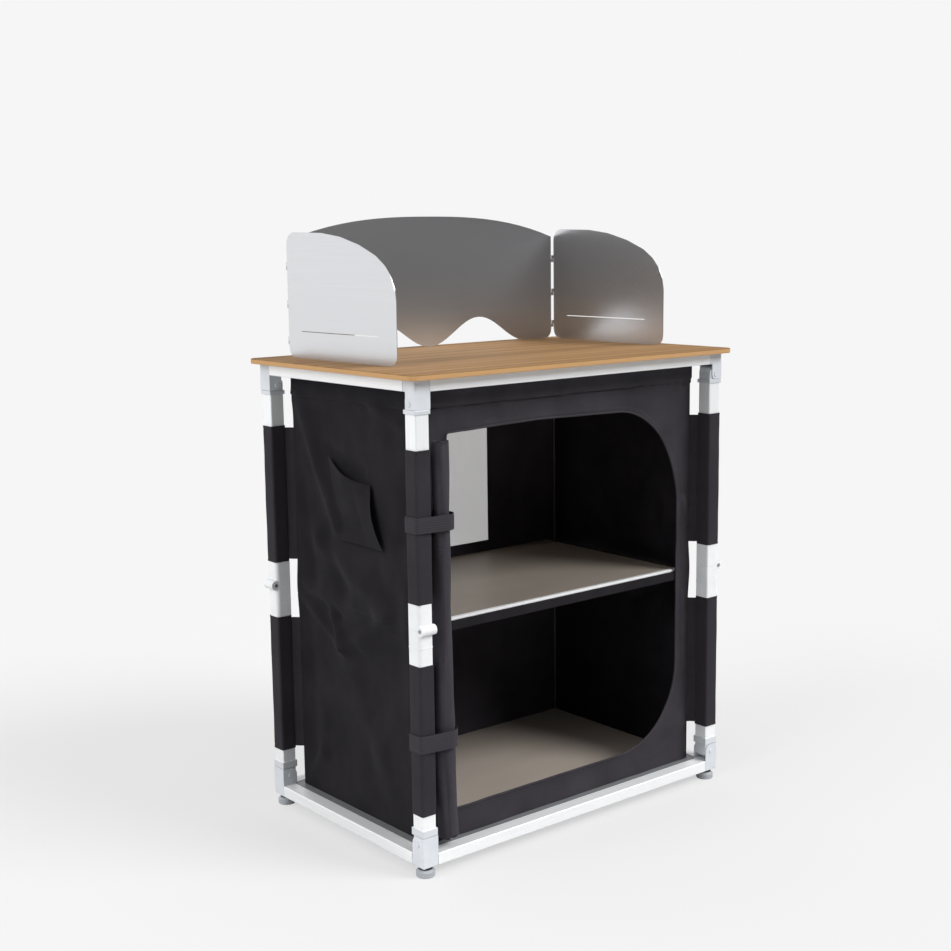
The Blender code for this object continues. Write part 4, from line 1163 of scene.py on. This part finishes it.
trim = {"proud": 0.0006, "depth": 0.0090, "bevel": 0.0005, "shorter": 0.0010, "below": 0.0002, "taller": 0.0006}
deselectAll()
bpy.ops.mesh.primitive_cube_add(size=1)
channel = bpy.context.object
channel.name = "shelf_edge_trim"
for vertex in channel.data.vertices:
    vertex.co = Vector((
        vertex.co.x * (shelfHigh.x - shelfLow.x - trim["shorter"]),
        shelfLow.y - trim["proud"] + (vertex.co.y + 0.5) * trim["depth"],
        shelfLow.z - trim["below"] + (vertex.co.z + 0.5) * (shelfHigh.z - shelfLow.z + trim["taller"]),
    ))
applied(channel, "BEVEL", width=trim["bevel"], segments=2)
smooth(channel, 30)
finishPiece(channel, "shelf", brightTrim, "frame_aluminium")
print("stage: shelf")


screw = {
    "radius": 0.0034,
    "height": 0.0014,
    "sunk": 0.0002,
    "ring": 0.0012,
    "step": 0.0003,
    "dish": 0.0007,
    "kneeZ": 0.460,
    "offset": 0.0175,
    "half": 0.0157,
}


# A flat screw head with a dished middle, standing on the Z axis.
def makeScrew():
    deselectAll()
    bpy.ops.mesh.primitive_cylinder_add(
        vertices=24, radius=screw["radius"], depth=screw["height"], end_fill_type="NGON",
    )
    head = bpy.context.object
    bpy.ops.object.mode_set(mode="EDIT")
    bpy.ops.mesh.select_mode(type="FACE")
    bpy.ops.mesh.select_all(action="DESELECT")
    bpy.ops.object.mode_set(mode="OBJECT")
    for face in head.data.polygons:
        face.select = face.normal.z > 0.9
    bpy.ops.object.mode_set(mode="EDIT")
    bpy.ops.mesh.inset(thickness=screw["ring"])
    bpy.ops.mesh.inset(thickness=screw["step"])
    bpy.ops.transform.translate(value=(0, 0, -screw["dish"]))
    bpy.ops.object.mode_set(mode="OBJECT")
    smooth(head, 30)
    return head


model = makeScrew()
for turns, (name, (signX, signY)) in enumerate(cornerSigns.items()):
    outward = Vector(((0, -1), (1, 0), (0, 1), (-1, 0))[turns])
    along = Vector(((1, 0), (0, 1))[turns % 2])
    pin = Vector((signX * posts["x"], signY * posts["y"])) + outward * screw["offset"]
    for end, letter in ((-1, "a"), (1, "b")):
        pick(model)
        bpy.ops.object.duplicate()
        head = bpy.context.object
        head.name = "knee_screw_" + name + "_" + letter
        turn = Vector((along.x * end, along.y * end, 0)).to_track_quat("Z", "Y").to_matrix().to_4x4()
        place = pin + along * end * (screw["half"] + screw["height"] / 2 - screw["sunk"])
        head.data.transform(Matrix.Translation((place.x, place.y, screw["kneeZ"])) @ turn)
        finishPiece(head, "lower_" + name, steel, "fitting_plastic")
bpy.data.objects.remove(model, do_unlink=True)
print("stage: screws")


studio = {
    "floor": "#c9c9c9",
    "backdrop": "#f6f6f6",
    "floorSize": (60, 54),
    "floorMiddle": 24,
    "shadowReach": 0.9,
    "farFloor": 2.6,
    "lifted": 0.62,
    "back": 1.0,
    "front": 0.10,
    "top": 0.9,
    "backFrom": (-0.35, 0.94, 0),
    "key": 3.0,
    "keyFrom": (2.2, -3.4, 3.3),
    "keyAngle": 30,
    "fill": 1.6,
    "fillFrom": (-3.6, 0.2, 2.3),
    "fillAngle": 40,
}
deselectAll()
bpy.ops.mesh.primitive_plane_add(size=1)
floor = bpy.context.object
floor.name = "floor"
floorWidth, floorDepth = studio["floorSize"]
for vertex in floor.data.vertices:
    vertex.co = Vector((vertex.co.x * floorWidth, studio["floorMiddle"] + vertex.co.y * floorDepth, 0))
floorFinish, floorTree, _, floorPoint = newFinish(
    "paleFloor", BaseColor=toLinear(studio["floor"]), Roughness=1.0, SpecularIORLevel=0.0,
)
floor.data.materials.append(floorFinish)
# Far from the kitchen the eye sees the floor run into the backdrop, near it about half of its shadow.
away = addNode(floorTree, "VectorMath", {0: floorPoint}, out="Value", operation="LENGTH")
farShare = addNode(
    floorTree, "MapRange",
    {
        "Value": away, "From Min": studio["shadowReach"], "From Max": studio["farFloor"],
        "To Min": studio["lifted"], "To Max": 1.0,
    },
    interpolation_type="SMOOTHSTEP",
)
seen = addNode(floorTree, "LightPath", {}, out="Is Camera Ray")
seenShare = addNode(floorTree, "Math", {0: farShare, 1: seen}, operation="MULTIPLY")
glow = addNode(floorTree, "Emission", {"Color": toLinear(studio["backdrop"]), "Strength": 1.0})
addNode(
    floorTree, "MixShader", {0: seenShare, 1: floorTree.nodes["Principled BSDF"].outputs[0], 2: glow},
    into=floorTree.nodes["Material Output"].inputs["Surface"],
)

world = bpy.context.scene.world or bpy.data.worlds.new("studio")
bpy.context.scene.world = world
world.use_nodes = True
sky = world.node_tree
sky.nodes.clear()
# Light comes from above and from behind the kitchen, and the eye sees a plain backdrop.
direction = addNode(sky, "TexCoord", {}, out="Generated")
fromBack = addNode(sky, "VectorMath", {0: direction, 1: studio["backFrom"]}, out="Value", operation="DOT_PRODUCT")
fromTop = addNode(sky, "SeparateXYZ", {"Vector": direction}, out="Z")
sideLevel = addNode(
    sky, "MapRange",
    {"Value": fromBack, "From Min": -0.1, "From Max": 0.9, "To Min": studio["front"], "To Max": studio["back"]},
    interpolation_type="SMOOTHSTEP",
)
height = addNode(
    sky, "MapRange", {"Value": fromTop, "From Min": 0.25, "From Max": 0.9}, interpolation_type="SMOOTHSTEP",
)
level = addNode(sky, "Mix", {0: height, 2: sideLevel, 3: studio["top"]})
light = addNode(sky, "Background", {"Color": (1, 1, 1, 1), "Strength": level})
plain = addNode(sky, "Background", {"Color": toLinear(studio["backdrop"]), "Strength": 1.0})
isCamera = addNode(sky, "LightPath", {}, out="Is Camera Ray")
chosen = addNode(sky, "MixShader", {0: isCamera, 1: light, 2: plain})
skyOutput = sky.nodes.new("ShaderNodeOutputWorld")
sky.links.new(chosen, skyOutput.inputs["Surface"])


# A broad light from far away, so the floor is lit evenly: angle is how wide it looks, in degrees.
def softLight(name, source, strength, angle):
    deselectAll()
    bpy.ops.object.light_add(type="SUN", location=source)
    lamp = bpy.context.object
    lamp.name = name
    lamp.data.energy = strength
    lamp.data.angle = math.radians(angle)
    lamp.rotation_euler = (-Vector(source)).to_track_quat("-Z", "Y").to_euler()


softLight("keyLight", studio["keyFrom"], studio["key"], studio["keyAngle"])
softLight("fillLight", studio["fillFrom"], studio["fill"], studio["fillAngle"])

camera = {
    "place": (-1.8990, -2.2557, 1.1439),
    "turn": 0.685701,
    "down": 0.161445,
    "roll": -0.013326,
    "lens": 56.11,
    "sensor": 36,
}
turn, down, tilt = camera["turn"], camera["down"], camera["roll"]
forward = Vector((math.sin(turn) * math.cos(down), math.cos(turn) * math.cos(down), -math.sin(down)))
right = forward.cross(Vector((0, 0, 1))).normalized()
above = right.cross(forward)
rightRolled = right * math.cos(tilt) + above * math.sin(tilt)
aboveRolled = above * math.cos(tilt) - right * math.sin(tilt)
deselectAll()
bpy.ops.object.camera_add()
eye = bpy.context.object
eye.data.lens = camera["lens"]
eye.data.sensor_width = camera["sensor"]
view = Matrix((rightRolled, aboveRolled, -forward)).transposed().to_4x4()
view.translation = camera["place"]
eye.matrix_world = view
bpy.context.scene.camera = eye
bpy.context.scene.view_settings.view_transform = "Standard"
print("stage: light and camera")
